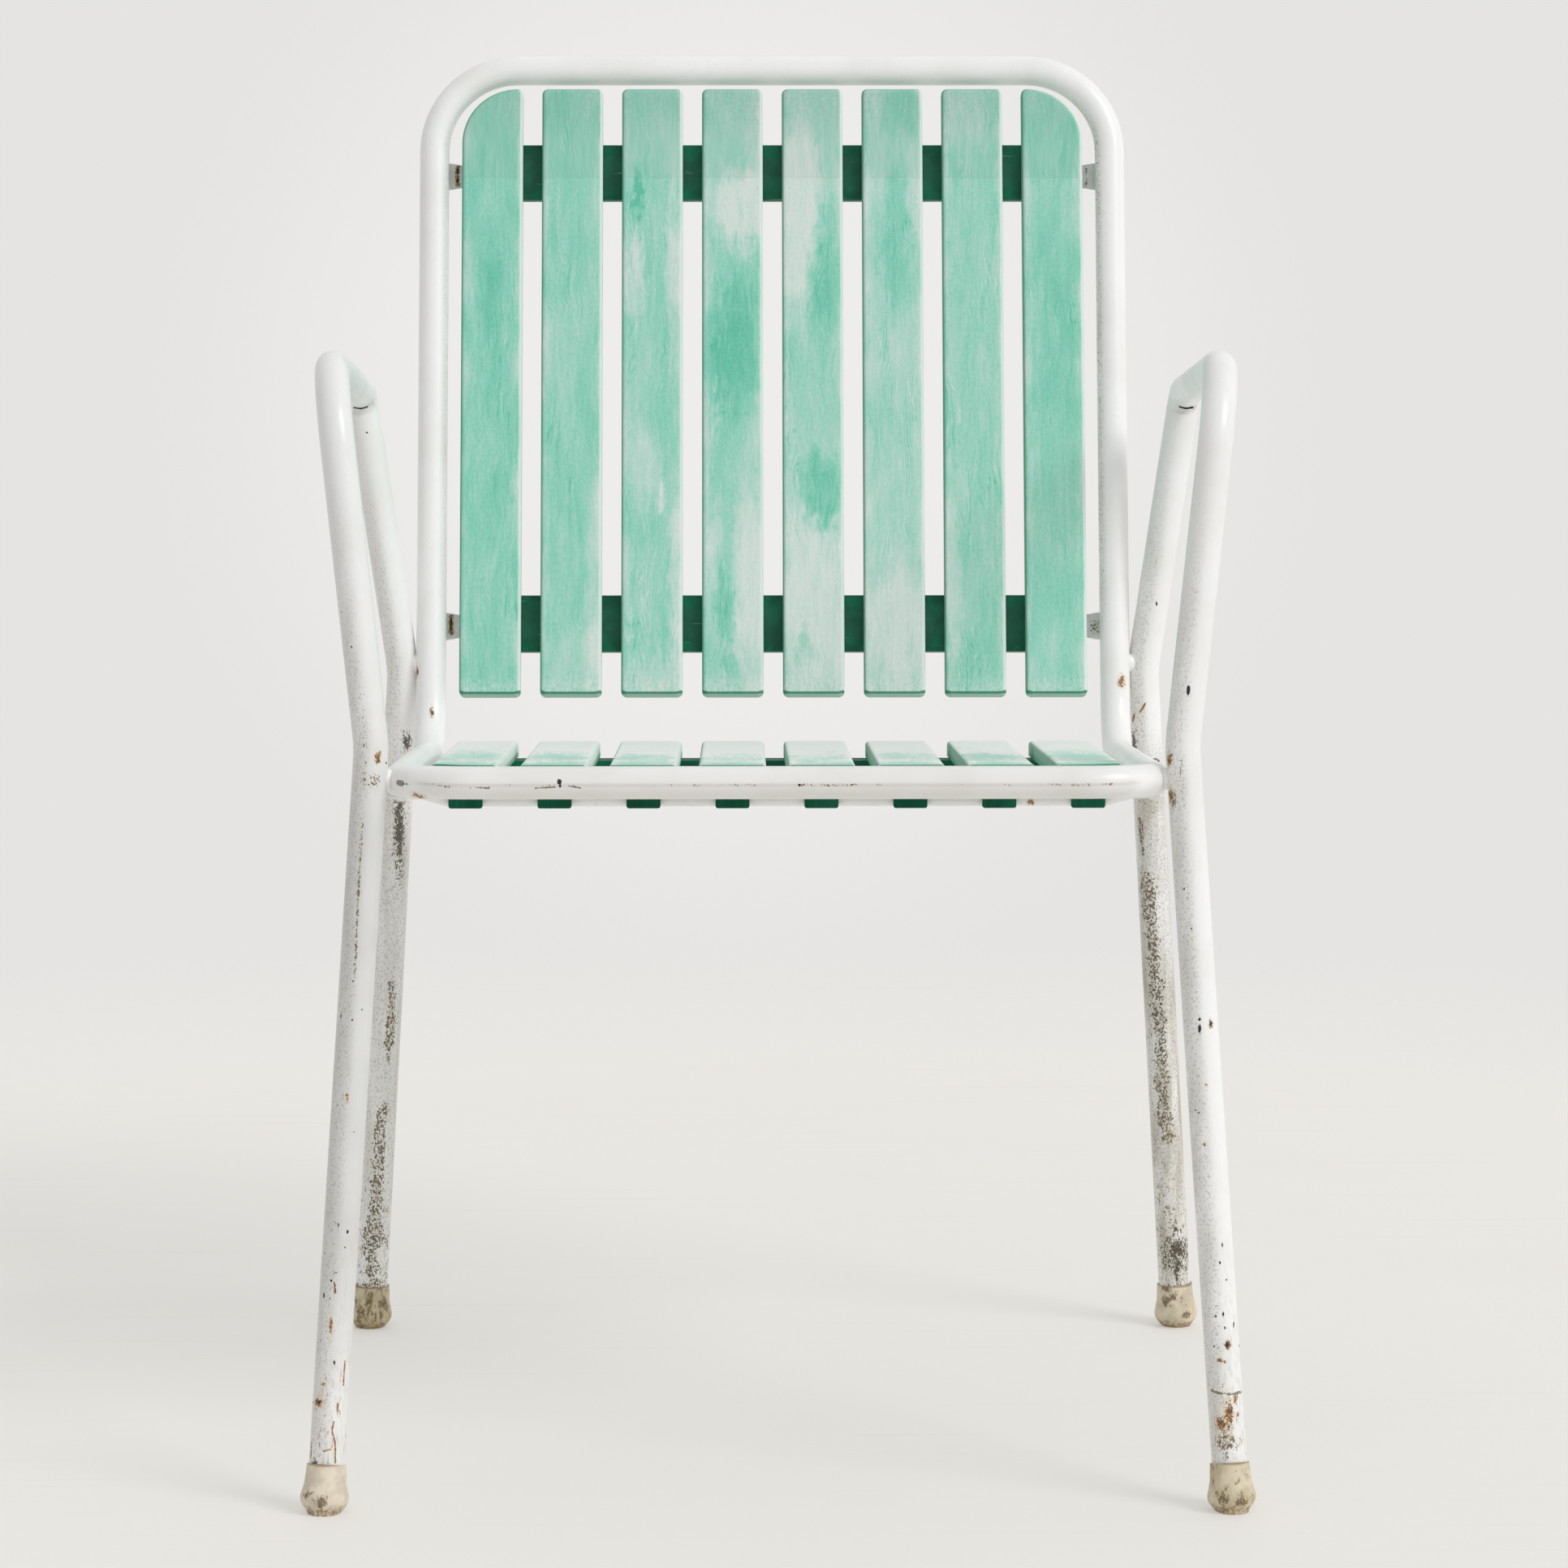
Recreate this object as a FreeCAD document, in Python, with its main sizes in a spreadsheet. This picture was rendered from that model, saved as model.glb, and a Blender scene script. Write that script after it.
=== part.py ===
"""Stacking garden armchair: bent steel tube, plastic slats and rubber ferrules.

The chair faces -Y. The origin lies on the floor under the middle of its bounding box.
"""
import FreeCAD, Part
import math
import os

import Sketcher
from FreeCAD import Placement, Rotation, Vector

# Driving dimensions in millimetres and degrees
SIZES = [
    ("frame_tube_diameter", 20.0, "tube of the seat and back frame"),
    ("frame_tube_wall", 1.5, "its wall"),
    ("frame_front_height", 433.4, "floor to the axis of the front rail"),
    ("frame_front_corner_radius", 45.0, "axis radius of the front corners"),
    ("frame_elbow_radius", 45.0, "axis radius where a side rail turns up"),
    ("frame_top_corner_radius", 57.0, "axis radius of the top corners"),
    ("seat_tilt", 4.9, "slope of the seat down to the rear"),
    ("back_recline", 16.2, "lean of the back from the vertical"),
    ("leg_tube_diameter", 21.5, "tube of the side loops"),
    ("leg_tube_wall", 1.5, "its wall"),
    ("front_leg_lean", 12.0, "front leg from the vertical, foot forward"),
    ("front_leg_contact_angle", 20.0, "where the front leg meets the corner, from sideways to forward"),
    ("rear_leg_contact_angle", 24.0, "where the rear leg meets the upright, from sideways to rearward"),
    ("leg_kink_height", 452.0, "floor to the inward kink of the legs"),
    ("leg_kink_radius", 80.0, "axis radius of the kink"),
    ("foot_splay", 27.0, "how far a foot stands outside its kink"),
    ("arm_flare", 27.0, "how far an armrest stands outside the kinks"),
    ("arm_front_height", 681.7, "floor to the axis of the armrest, carried forward to the front leg"),
    ("arm_rear_height", 640.0, "floor to the axis of the armrest at the rear leg"),
    ("arm_front_radius", 55.0, "axis radius of the front bend"),
    ("arm_rear_radius", 16.0, "axis radius of the tight rear bend"),
    ("arm_bend_flat", 5.0, "how far the outside of that bend is flattened"),
    ("arm_crease_depth", 4.3, "how deep its inside is creased"),
    ("arm_crease_rounding", 4.0, "rounding of the crease"),
    ("arm_crease_width", 9.0, "slit in the crease of the rear bend"),
    ("arm_crease_height", 2.3, "its height"),
    ("weld_gap", 0.35, "fit-up gap between welded tubes"),
    ("weld_bead_radius", 6.5, "bead between a leg and the frame"),
    ("tab_bead_radius", 3.6, "bead between a flattened end and the frame"),
    ("tab_bead_length", 13.0, "its length"),
    ("slat_pitch", 54.5, "slat to slat"),
    ("slat_width", 41.4, "width of a slat"),
    ("slat_thickness", 10.0, "thickness of a slat"),
    ("slat_wall", 2.5, "wall of the hollow-backed moulding"),
    ("slat_edge_radius", 3.0, "rounding round the face of a slat"),
    ("slat_end_margin", 1.0, "how far the radius of a slat's small corners exceeds that rounding"),
    ("slat_side_gap", 9.15, "outer slat to the tube of the frame"),
    ("slat_corner_radius", 38.0, "rounded outer corner of the outer slats"),
    ("seat_slat_length", 363.0, "length of a seat slat"),
    ("seat_front_gap", 5.0, "front rail to seat slats"),
    ("seat_rear_clear", 31.0, "seat slats to the corner of the elbow"),
    ("back_slat_length", 420.2, "length of a back slat"),
    ("back_bottom_clear", 38.3, "corner of the elbow to the back slats"),
    ("back_top_gap", 5.0, "back slats to the top rail"),
    ("seat_front_rail_inset", 44.0, "front end of the seat slats to the front cross tube"),
    ("seat_rear_rail_inset", 52.0, "rear end of the seat slats to the rear cross tube"),
    ("back_lower_rail_inset", 50.8, "lower end of the back slats to the lower cross tube"),
    ("back_upper_rail_inset", 56.7, "upper end of the back slats to the upper cross tube"),
    ("rail_height", 38.5, "plastic rail, measured along the slats"),
    ("rail_thickness", 5.0, "thickness of the plastic rail"),
    ("rail_end_inset", 6.0, "outer slat edge to the end of the rail"),
    ("cross_tube_diameter", 12.0, "steel cross tube"),
    ("cross_tube_wall", 1.0, "its wall"),
    ("cross_tube_seat_gap", 0.3, "cross tube to plastic rail and to the frame"),
    ("cross_taper_start", 1.0, "outermost hook to where the cross tube starts to flatten"),
    ("cross_tab_length", 17.0, "flattened end"),
    ("cross_tab_reach", 6.5, "how far the flattened end passes the axis of the side rail"),
    ("hook_width", 20.8, "hook behind a slat, across the slat"),
    ("hook_wall", 3.0, "wall of the hook beside the cross tube"),
    ("hook_lip", 0.8, "how far the hook reaches past the cross tube"),
    ("hook_mouth", 9.0, "opening that snaps over the cross tube"),
    ("hook_corner_radius", 1.5, "rounded lower corners of a hook"),
    ("hook_clearance", 0.3, "hook to cross tube and to the window in the rail"),
    ("foot_height", 29.0, "floor to the rim of a ferrule, along the leg"),
    ("foot_sole", 7.0, "floor to the end of the leg tube"),
    ("foot_rim_wall", 1.1, "wall at the rim"),
    ("foot_collar_wall", 1.8, "wall where a ferrule starts to flare"),
    ("foot_collar_height", 18.0, "floor to where a ferrule starts to flare"),
    ("foot_flare_diameter", 30.8, "widest part of a ferrule before its rounding"),
    ("foot_flare_height", 7.2, "floor to the widest part"),
    ("foot_contact_diameter", 19.6, "lower end of a ferrule before it meets the floor"),
    ("foot_under_floor", 5.0, "length of ferrule trimmed off flat at the floor"),
    ("foot_flare_rounding", 8.0, "rounding of the widest part"),
    ("foot_clearance", 0.05, "ferrule to leg tube"),
]
SLATS_PER_PANEL = 8

doc = FreeCAD.newDocument("garden_armchair")
sheet = doc.addObject("Spreadsheet::Sheet", "Sizes")
for row, (alias, value, meaning) in enumerate(SIZES, start=1):
    sheet.set(f"A{row}", meaning)
    sheet.set(f"B{row}", str(value))
    sheet.setAlias(f"B{row}", alias)
doc.recompute()


class Length:
    """A number together with the sheet expression that gives it."""

    def __init__(self, value, text):
        self.value = value
        self.text = text

    def _join(self, sign, other, value):
        other_text = other.text if isinstance(other, Length) else str(other)
        return Length(value, f"({self.text} {sign} {other_text})")

    def __add__(self, other):
        return self._join("+", other, self.value + float(other))

    def __sub__(self, other):
        return self._join("-", other, self.value - float(other))

    def __mul__(self, other):
        return self._join("*", other, self.value * float(other))

    def __truediv__(self, other):
        return self._join("/", other, self.value / float(other))

    def __neg__(self):
        return Length(-self.value, f"(-1 * {self.text})")

    def __float__(self):
        return self.value


def size(alias):
    return Length(float(sheet.get(alias)), f"Sizes.{alias}")


def number(alias):
    return float(size(alias))


def smaller(first, second):
    return Length(min(float(first), float(second)), f"min({first.text}; {second.text})")


ZERO = Length(0.0, "0")

# Shared sizes
frame_radius = number("frame_tube_diameter") / 2
leg_radius = number("leg_tube_diameter") / 2
cross_radius = number("cross_tube_diameter") / 2
panel_half_width = (SLATS_PER_PANEL - 1) * number("slat_pitch") / 2 + number("slat_width") / 2
half_width = panel_half_width + number("slat_side_gap") + frame_radius
tilt = math.radians(number("seat_tilt"))
recline = math.radians(number("back_recline"))
lean = math.radians(number("front_leg_lean"))
welded_spacing = frame_radius + leg_radius + number("weld_gap")

# Directions in the chair's middle plane
seat_rearward = Vector(0, math.cos(tilt), -math.sin(tilt))
back_upward = Vector(0, math.sin(recline), math.cos(recline))

# Corners of the seat and back frame, with the front rail's axis at Y = 0
front_rail = Vector(0, 0, number("frame_front_height"))
seat_rail_length = (frame_radius + number("seat_front_gap") + number("seat_slat_length")
                    + number("seat_rear_clear"))
elbow = front_rail + seat_rearward * seat_rail_length
upright_length = (number("back_bottom_clear") + number("back_slat_length") + number("back_top_gap")
                  + frame_radius)
top_rail = elbow + back_upward * upright_length


def sideways(point, x):
    return Vector(x, point.y, point.z)


def bent_path(points, radii):
    """A wire of straight runs joined by tangent arcs, one radius for each inner point."""
    edges = []
    start = points[0]
    for before, corner, after, radius in zip(points, points[1:], points[2:], radii):
        back = (before - corner).normalize()
        ahead = (after - corner).normalize()
        half_turn = (math.pi - back.getAngle(ahead)) / 2
        tangent = radius * math.tan(half_turn)
        bisector = (back + ahead).normalize()
        arc_start = corner + back * tangent
        arc_end = corner + ahead * tangent
        middle = corner + bisector * (radius / math.cos(half_turn) - radius)
        edges.append(Part.makeLine(start, arc_start))
        edges.append(Part.Arc(arc_start, middle, arc_end).toShape())
        start = arc_end
    edges.append(Part.makeLine(start, points[-1]))
    return Part.Wire(edges)


def rod_along(points, radii, radius):
    """A solid round bar bent along the points."""
    circle = Part.makeCircle(radius, points[0], points[1] - points[0])
    return bent_path(points, radii).makePipe(Part.Face(Part.Wire(circle)))


def solid_feature(label, shape):
    feature = doc.addObject("Part::Feature", label)
    feature.Label = label
    feature.Shape = shape
    return feature


# Seat and back frame: a closed loop, made as a right half and its mirror image
def frame_points():
    """Middle of the front rail, right-hand corners and middle of the top rail."""
    corners = [sideways(point, half_width) for point in (front_rail, elbow, top_rail)]
    return [front_rail] + corners + [top_rail]


def frame_radii():
    return [number("frame_front_corner_radius"), number("frame_elbow_radius"),
            number("frame_top_corner_radius")]


def frame_rod(inset):
    """The frame's loop as a bar, thinner than the tube by the inset."""
    right = rod_along(frame_points(), frame_radii(), frame_radius - inset)
    left = right.mirror(Vector(), Vector(1, 0, 0))
    return right.fuse(left).removeSplitter()


def make_frame():
    return solid_feature("seat_back_frame", frame_rod(0).cut(frame_rod(number("frame_tube_wall"))))


# Side loops: each leg stands where its tube just meets the frame's
CLOSING_STEPS = 8


def front_leg_y(height):
    """Front leg's axis in the side view, set by where it meets the rounded front corner."""
    corner_radius = number("frame_front_corner_radius")
    angle = math.radians(number("front_leg_contact_angle"))
    along = corner_radius - (corner_radius + welded_spacing) * math.sin(angle)
    beside = front_rail + seat_rearward * along
    return beside.y + (height - beside.z) * math.tan(lean)


def rear_leg_y():
    """Rear leg's axis in the side view, a little behind the upright at the height of the kink."""
    upright_y = elbow.y + (number("leg_kink_height") - elbow.z) * math.tan(recline)
    return upright_y + welded_spacing * math.sin(math.radians(number("rear_leg_contact_angle")))


def front_leg(x):
    """Foot, kink and front of the armrest on the chair's right, with the kink at x."""
    kink = number("leg_kink_height")
    arm = number("arm_front_height")
    return [
        Vector(x + number("foot_splay"), front_leg_y(0), 0),
        Vector(x, front_leg_y(kink), kink),
        Vector(x + number("arm_flare"), front_leg_y(arm), arm),
    ]


def rear_leg(x):
    """Rear of the armrest, kink and foot on the chair's right, with the kink at x."""
    return [
        Vector(x + number("arm_flare"), rear_leg_y(), number("arm_rear_height")),
        Vector(x, rear_leg_y(), number("leg_kink_height")),
        Vector(x + number("foot_splay"), rear_leg_y(), 0),
    ]


def touching(leg):
    """The leg's points once its tube meets the frame's, and the nearest points of frame and leg axis."""
    frame_axis = bent_path(frame_points(), frame_radii())
    x = half_width + welded_spacing
    for step in range(CLOSING_STEPS):
        leg_axis = bent_path(leg(x), [number("leg_kink_radius")])
        gap, nearest = frame_axis.distToShape(leg_axis)[:2]
        x += welded_spacing - gap
    return leg(x), nearest[0]


front_leg_points, front_weld = touching(front_leg)
rear_leg_points, rear_weld = touching(rear_leg)


def side_points(side):
    """Foot, kink, armrest corners, kink and foot of one side loop, side being 1 or -1."""
    return [sideways(point, side * point.x) for point in front_leg_points + rear_leg_points]


def rear_bend(points):
    """Middle of the armrest's rear bend on the tube's axis, and directions into the bend and across it."""
    before, corner, after = points[2:5]
    back = (before - corner).normalize()
    ahead = (after - corner).normalize()
    half_turn = (math.pi - back.getAngle(ahead)) / 2
    radius = number("arm_rear_radius")
    inward = (back + ahead).normalize()
    return corner + inward * (radius / math.cos(half_turn) - radius), inward, back.cross(ahead).normalize()


def bend_dents(points, inset):
    """Cutters that flatten the outside of the rear bend and press a crease into its inside."""
    middle, inward, across = rear_bend(points)
    reach = 2 * number("leg_tube_diameter")
    outside = Part.makeBox(reach, reach, reach,
                           Vector(-reach / 2, -reach / 2, leg_radius - number("arm_bend_flat") - inset))
    outside.Placement = Placement(middle, Rotation(across, Vector(), -inward, "ZXY"))
    rounding = number("arm_crease_rounding")
    centre = middle + inward * (leg_radius - number("arm_crease_depth") + rounding)
    crease = Part.makeCylinder(rounding + inset, reach, centre - across * (reach / 2), across)
    return [outside, crease]


def crease_slit(points):
    """Cutter for the slit at the bottom of the crease."""
    middle, inward, across = rear_bend(points)
    wall = number("leg_tube_wall")
    width = number("arm_crease_width")
    height = number("arm_crease_height")
    box = Part.makeBox(width, height, 3 * wall, Vector(-width / 2, -height / 2, 0))
    box.Placement = Placement(middle + inward * (leg_radius - number("arm_crease_depth") - 2 * wall),
                              Rotation(across, Vector(), inward, "ZXY"))
    return box


def side_rod(side, inset):
    """One side loop as a bar, thinner than the tube by the inset."""
    points = side_points(side)
    sole = number("foot_sole")
    front_start = points[0] + (points[1] - points[0]).normalize() * sole
    rear_end = points[-1] + (points[-2] - points[-1]).normalize() * sole
    kink_radius = number("leg_kink_radius")
    radii = [kink_radius, number("arm_front_radius"), number("arm_rear_radius"), kink_radius]
    rod = rod_along([front_start] + points[1:-1] + [rear_end], radii, leg_radius - inset)
    return rod.cut(bend_dents(points, inset))


def make_side_tube(label, side):
    tube = side_rod(side, 0).cut(side_rod(side, number("leg_tube_wall")))
    return solid_feature(label, tube.cut(crease_slit(side_points(side))))


# Panels: local X across the chair, Y along the slats, Z out of the face
seat_front_edge = front_rail + seat_rearward * (frame_radius + number("seat_front_gap"))
back_lower_edge = elbow + back_upward * number("back_bottom_clear")
seat_turn = Rotation(Vector(1, 0, 0), -number("seat_tilt"))
back_turn = Rotation(Vector(1, 0, 0), 90 - number("back_recline"))

cross_axis_depth = (size("slat_thickness") + size("rail_thickness") + size("cross_tube_seat_gap")
                    + size("cross_tube_diameter") / 2)
# The flattened ends bear on the frame, which sets how far the slat faces stand above its axis
face_height = (float(cross_axis_depth) - number("cross_tube_wall") - number("cross_tube_seat_gap")
               - frame_radius)


def panel_place(turn, edge):
    return Placement(edge + turn.multVec(Vector(0, 0, face_height)), turn)


seat_place = panel_place(seat_turn, seat_front_edge)
back_place = panel_place(back_turn, back_lower_edge)


def new_sketch(body, name, role, depth=None):
    """A sketch on one of the body's own planes, moved along the plane's normal."""
    sketch = body.newObject("Sketcher::SketchObject", name)
    plane = next(item for item in body.Origin.OriginFeatures if item.Role == role)
    sketch.AttachmentSupport = [(plane, "")]
    sketch.MapMode = "FlatFace"
    if depth is not None:
        sketch.setExpression("AttachmentOffset.Base.z", depth.text)
    return sketch


def fix_point(sketch, geometry, position, x, y):
    for kind, length in (("DistanceX", x), ("DistanceY", y)):
        index = sketch.addConstraint(Sketcher.Constraint(kind, geometry, position, float(length)))
        sketch.setExpression(f"Constraints[{index}]", length.text)


def add_polygon(sketch, corners):
    """Closed outline whose corners are bound to the sheet."""
    first = sketch.GeometryCount
    ends = corners[1:] + corners[:1]
    for (x0, y0), (x1, y1) in zip(corners, ends):
        start = Vector(float(x0), float(y0), 0)
        sketch.addGeometry(Part.LineSegment(start, Vector(float(x1), float(y1), 0)))
    for step, (x, y) in enumerate(corners):
        following = first + (step + 1) % len(corners)
        sketch.addConstraint(Sketcher.Constraint("Coincident", first + step, 2, following, 1))
        fix_point(sketch, first + step, 1, x, y)


def add_rectangle(sketch, left, right, bottom, top):
    add_polygon(sketch, [(left, bottom), (right, bottom), (right, top), (left, top)])


def add_circle(sketch, x, y, radius):
    index = sketch.addGeometry(Part.Circle(Vector(float(x), float(y), 0), Vector(0, 0, 1), float(radius)))
    fix_point(sketch, index, 3, x, y)
    limit = sketch.addConstraint(Sketcher.Constraint("Radius", index, float(radius)))
    sketch.setExpression(f"Constraints[{limit}]", radius.text)


def add_feature(body, kind, name, profile, length, symmetric=False, reverse=False):
    feature = body.newObject(f"PartDesign::{kind}", name)
    feature.Profile = profile
    feature.setExpression("Length", length.text)
    feature.Reversed = reverse
    if symmetric:
        feature.SideType = "Symmetric"
    return feature


def edge_names(shape, wanted):
    return [f"Edge{n}" for n, edge in enumerate(shape.Edges, start=1) if wanted(edge)]


def round_edges(body, name, base, wanted, radius):
    """Fillet on the edges of the base feature that the test picks out."""
    doc.recompute()
    fillet = body.newObject("PartDesign::Fillet", name)
    fillet.Base = (base, edge_names(base.Shape, wanted))
    fillet.setExpression("Radius", radius.text)
    return fillet


TOUCH = 1e-4


def corner_test(x, y, height):
    """Picks out the edge that runs through the board at one corner."""
    def at_corner(edge):
        centre = edge.CenterOfMass
        through = abs(edge.BoundBox.ZLength - height) < TOUCH
        return through and abs(centre.x - x) < TOUCH and abs(centre.y - y) < TOUCH
    return at_corner


def make_slat(label, place, x, length, insets, rounded_end):
    """One hollow-backed slat with hooks; rounded_end is None, or (x side, far end) of the large corner."""
    body = doc.addObject("PartDesign::Body", label)
    body.Label = label
    half = size("slat_width") / 2
    thickness = size("slat_thickness")
    wall = size("slat_wall")
    outline = new_sketch(body, f"{label}_outline", "XY_Plane")
    add_rectangle(outline, -half, half, ZERO, length)
    board = add_feature(body, "Pad", f"{label}_board", outline, thickness, reverse=True)
    doc.recompute()
    channel = new_sketch(body, f"{label}_channel", "XY_Plane", -thickness)
    add_rectangle(channel, -half + wall, half - wall, wall, length - wall)
    board = add_feature(body, "Pocket", f"{label}_hollow", channel, thickness - wall, reverse=True)
    sides = (-float(half), float(half))
    small_corners = [(x_end, y_end) for x_end in sides for y_end in (0.0, float(length))]
    if rounded_end is not None:
        side, far_end = rounded_end
        corner_x = side * float(half)
        corner_y = float(length) if far_end else 0.0
        small_corners.remove((corner_x, corner_y))
        inner_y = float(length - wall) if far_end else float(wall)
        outer_corner = corner_test(corner_x, corner_y, float(thickness))
        inner_corner = corner_test(corner_x - side * float(wall), inner_y, float(thickness - wall))
        corner = size("slat_corner_radius")
        inner_radius = smaller(corner - wall, size("slat_width") - wall * 3)
        outer_radius = smaller(corner, size("slat_width") - size("slat_edge_radius"))
        board = round_edges(body, f"{label}_inner_corner", board, inner_corner, inner_radius)
        board = round_edges(body, f"{label}_corner", board, outer_corner, outer_radius)
    tests = [corner_test(x_end, y_end, float(thickness)) for x_end, y_end in small_corners]
    board = round_edges(body, f"{label}_small_corners", board,
                        lambda edge: any(test(edge) for test in tests),
                        size("slat_edge_radius") + size("slat_end_margin"))
    board = round_edges(body, f"{label}_rounding", board,
                        lambda edge: edge.BoundBox.ZMin > -TOUCH, size("slat_edge_radius"))
    add_hooks(body, label, insets)
    body.Placement = place.multiply(Placement(Vector(x, 0, 0), Rotation()))
    return body


def add_hooks(body, label, insets):
    """Blocks behind the slat that snap over the cross tubes."""
    bore = size("cross_tube_diameter") / 2 + size("hook_clearance")
    reach = bore + size("hook_wall")
    top = -size("slat_wall")
    bottom = -(cross_axis_depth + size("cross_tube_diameter") / 2 + size("hook_lip"))
    mouth = size("hook_mouth") / 2
    blocks = new_sketch(body, f"{label}_hook_blocks", "YZ_Plane")
    bores = new_sketch(body, f"{label}_hook_bores", "YZ_Plane")
    mouths = new_sketch(body, f"{label}_hook_mouths", "YZ_Plane")
    for inset in insets:
        add_rectangle(blocks, inset - reach, inset + reach, bottom, top)
        add_circle(bores, inset, -cross_axis_depth, bore)
        add_rectangle(mouths, inset - mouth, inset + mouth, bottom, -cross_axis_depth)
    width = size("hook_width")
    add_feature(body, "Pad", f"{label}_hooks", blocks, width, symmetric=True)
    doc.recompute()
    add_feature(body, "Pocket", f"{label}_bores", bores, width, symmetric=True)
    doc.recompute()
    hooks = add_feature(body, "Pocket", f"{label}_mouths", mouths, width, symmetric=True)
    lowest = float(bottom)

    def lower_side(edge):
        return edge.BoundBox.ZMax < lowest + TOUCH and edge.BoundBox.XLength < TOUCH
    round_edges(body, f"{label}_hook_rounding", hooks, lower_side, size("hook_corner_radius"))


def make_panel(name, place, length, insets, rounded_far_end):
    slats = []
    for index in range(SLATS_PER_PANEL):
        x = (index - (SLATS_PER_PANEL - 1) / 2) * number("slat_pitch")
        outer_side = {0: -1, SLATS_PER_PANEL - 1: 1}.get(index)
        rounded = None if outer_side is None else (outer_side, rounded_far_end)
        slats.append(make_slat(f"{name}_slat_{index + 1}", place, x, length, insets, rounded))
    return slats


# Plastic rails behind the slats, with a window for each hook
def make_rail(label, place, inset):
    body = doc.addObject("PartDesign::Body", label)
    body.Label = label
    half_height = size("rail_height") / 2
    gaps = SLATS_PER_PANEL - 1
    half_length = size("slat_pitch") * (gaps / 2) + size("slat_width") / 2 - size("rail_end_inset")
    outline = new_sketch(body, f"{label}_outline", "XY_Plane", -size("slat_thickness"))
    add_rectangle(outline, -half_length, half_length, -half_height, half_height)
    add_feature(body, "Pad", f"{label}_bar", outline, size("rail_thickness"), reverse=True)
    doc.recompute()
    window = new_sketch(body, f"{label}_window", "XY_Plane", -size("slat_thickness"))
    half_window = size("hook_width") / 2 + size("hook_clearance")
    reach = (size("cross_tube_diameter") / 2 + size("hook_clearance") + size("hook_wall")
             + size("hook_clearance"))
    first = -size("slat_pitch") * (gaps / 2)
    add_rectangle(window, first - half_window, first + half_window, -reach, reach)
    opening = add_feature(body, "Pocket", f"{label}_opening", window, size("rail_thickness"))
    doc.recompute()
    row_of_windows = body.newObject("PartDesign::LinearPattern", f"{label}_openings")
    row_of_windows.Originals = [opening]
    row_of_windows.Direction = (window, ["H_Axis"])
    row_of_windows.setExpression("Length", (size("slat_pitch") * gaps).text)
    row_of_windows.Occurrences = SLATS_PER_PANEL
    body.Tip = row_of_windows
    body.Placement = place.multiply(Placement(Vector(0, float(inset), 0), Rotation()))
    return body


# Cross tubes: round in the middle, flattened where they pass the frame
def tube_section(x, half_height, half_depth, corner):
    """Closed section square to X, four arcs or lines that match from section to section."""
    if half_height - half_depth < TOUCH:
        turn = math.pi / 4
        ends = [Vector(x, half_height * math.cos(turn * n), half_height * math.sin(turn * n))
                for n in range(-1, 8)]
        arcs = [Part.Arc(ends[n], ends[n + 1], ends[n + 2]).toShape() for n in (0, 2, 4, 6)]
        return Part.Wire(arcs)
    run = half_height - corner
    tip = Part.Arc(Vector(x, run, -half_depth), Vector(x, half_height, 0), Vector(x, run, half_depth))
    tail = Part.Arc(Vector(x, -run, half_depth), Vector(x, -half_height, 0), Vector(x, -run, -half_depth))
    return Part.Wire([
        tip.toShape(),
        Part.makeLine(Vector(x, run, half_depth), Vector(x, -run, half_depth)),
        tail.toShape(),
        Part.makeLine(Vector(x, -run, -half_depth), Vector(x, run, -half_depth)),
    ])


def make_cross_tube(label, place, inset):
    """A flattened tube keeps its girth, so the tab is half a girth wide and two walls thick."""
    wall = number("cross_tube_wall")
    tab_end = half_width + number("cross_tab_reach")
    flat_start = tab_end - number("cross_tab_length")
    outer_hook = (SLATS_PER_PANEL - 1) * number("slat_pitch") / 2 + number("hook_width") / 2
    round_end = outer_hook + number("cross_taper_start")
    tab_half = math.pi * cross_radius / 2
    round_section = tube_section(round_end, cross_radius, cross_radius, cross_radius)
    flat_section = tube_section(flat_start, tab_half, wall, wall)
    taper = Part.makeLoft([round_section, flat_section], True, True)
    tab = Part.Face(flat_section).extrude(Vector(number("cross_tab_length"), 0, 0))
    end = taper.fuse(tab)
    middle = Part.makeCylinder(cross_radius, 2 * round_end, Vector(-round_end, 0, 0), Vector(1, 0, 0))
    bore = Part.makeCylinder(cross_radius - wall, 2 * round_end, Vector(-round_end, 0, 0), Vector(1, 0, 0))
    other_end = end.mirror(Vector(), Vector(1, 0, 0))
    feature = solid_feature(label, middle.fuse([end, other_end]).cut(bore).removeSplitter())
    axis_place = Placement(Vector(0, float(inset), -float(cross_axis_depth)), Rotation())
    feature.Placement = place.multiply(axis_place)
    return feature


# Ferrules: turned on the leg's axis, then trimmed flat at the floor
FLOOR_MARGIN = 2.0


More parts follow.
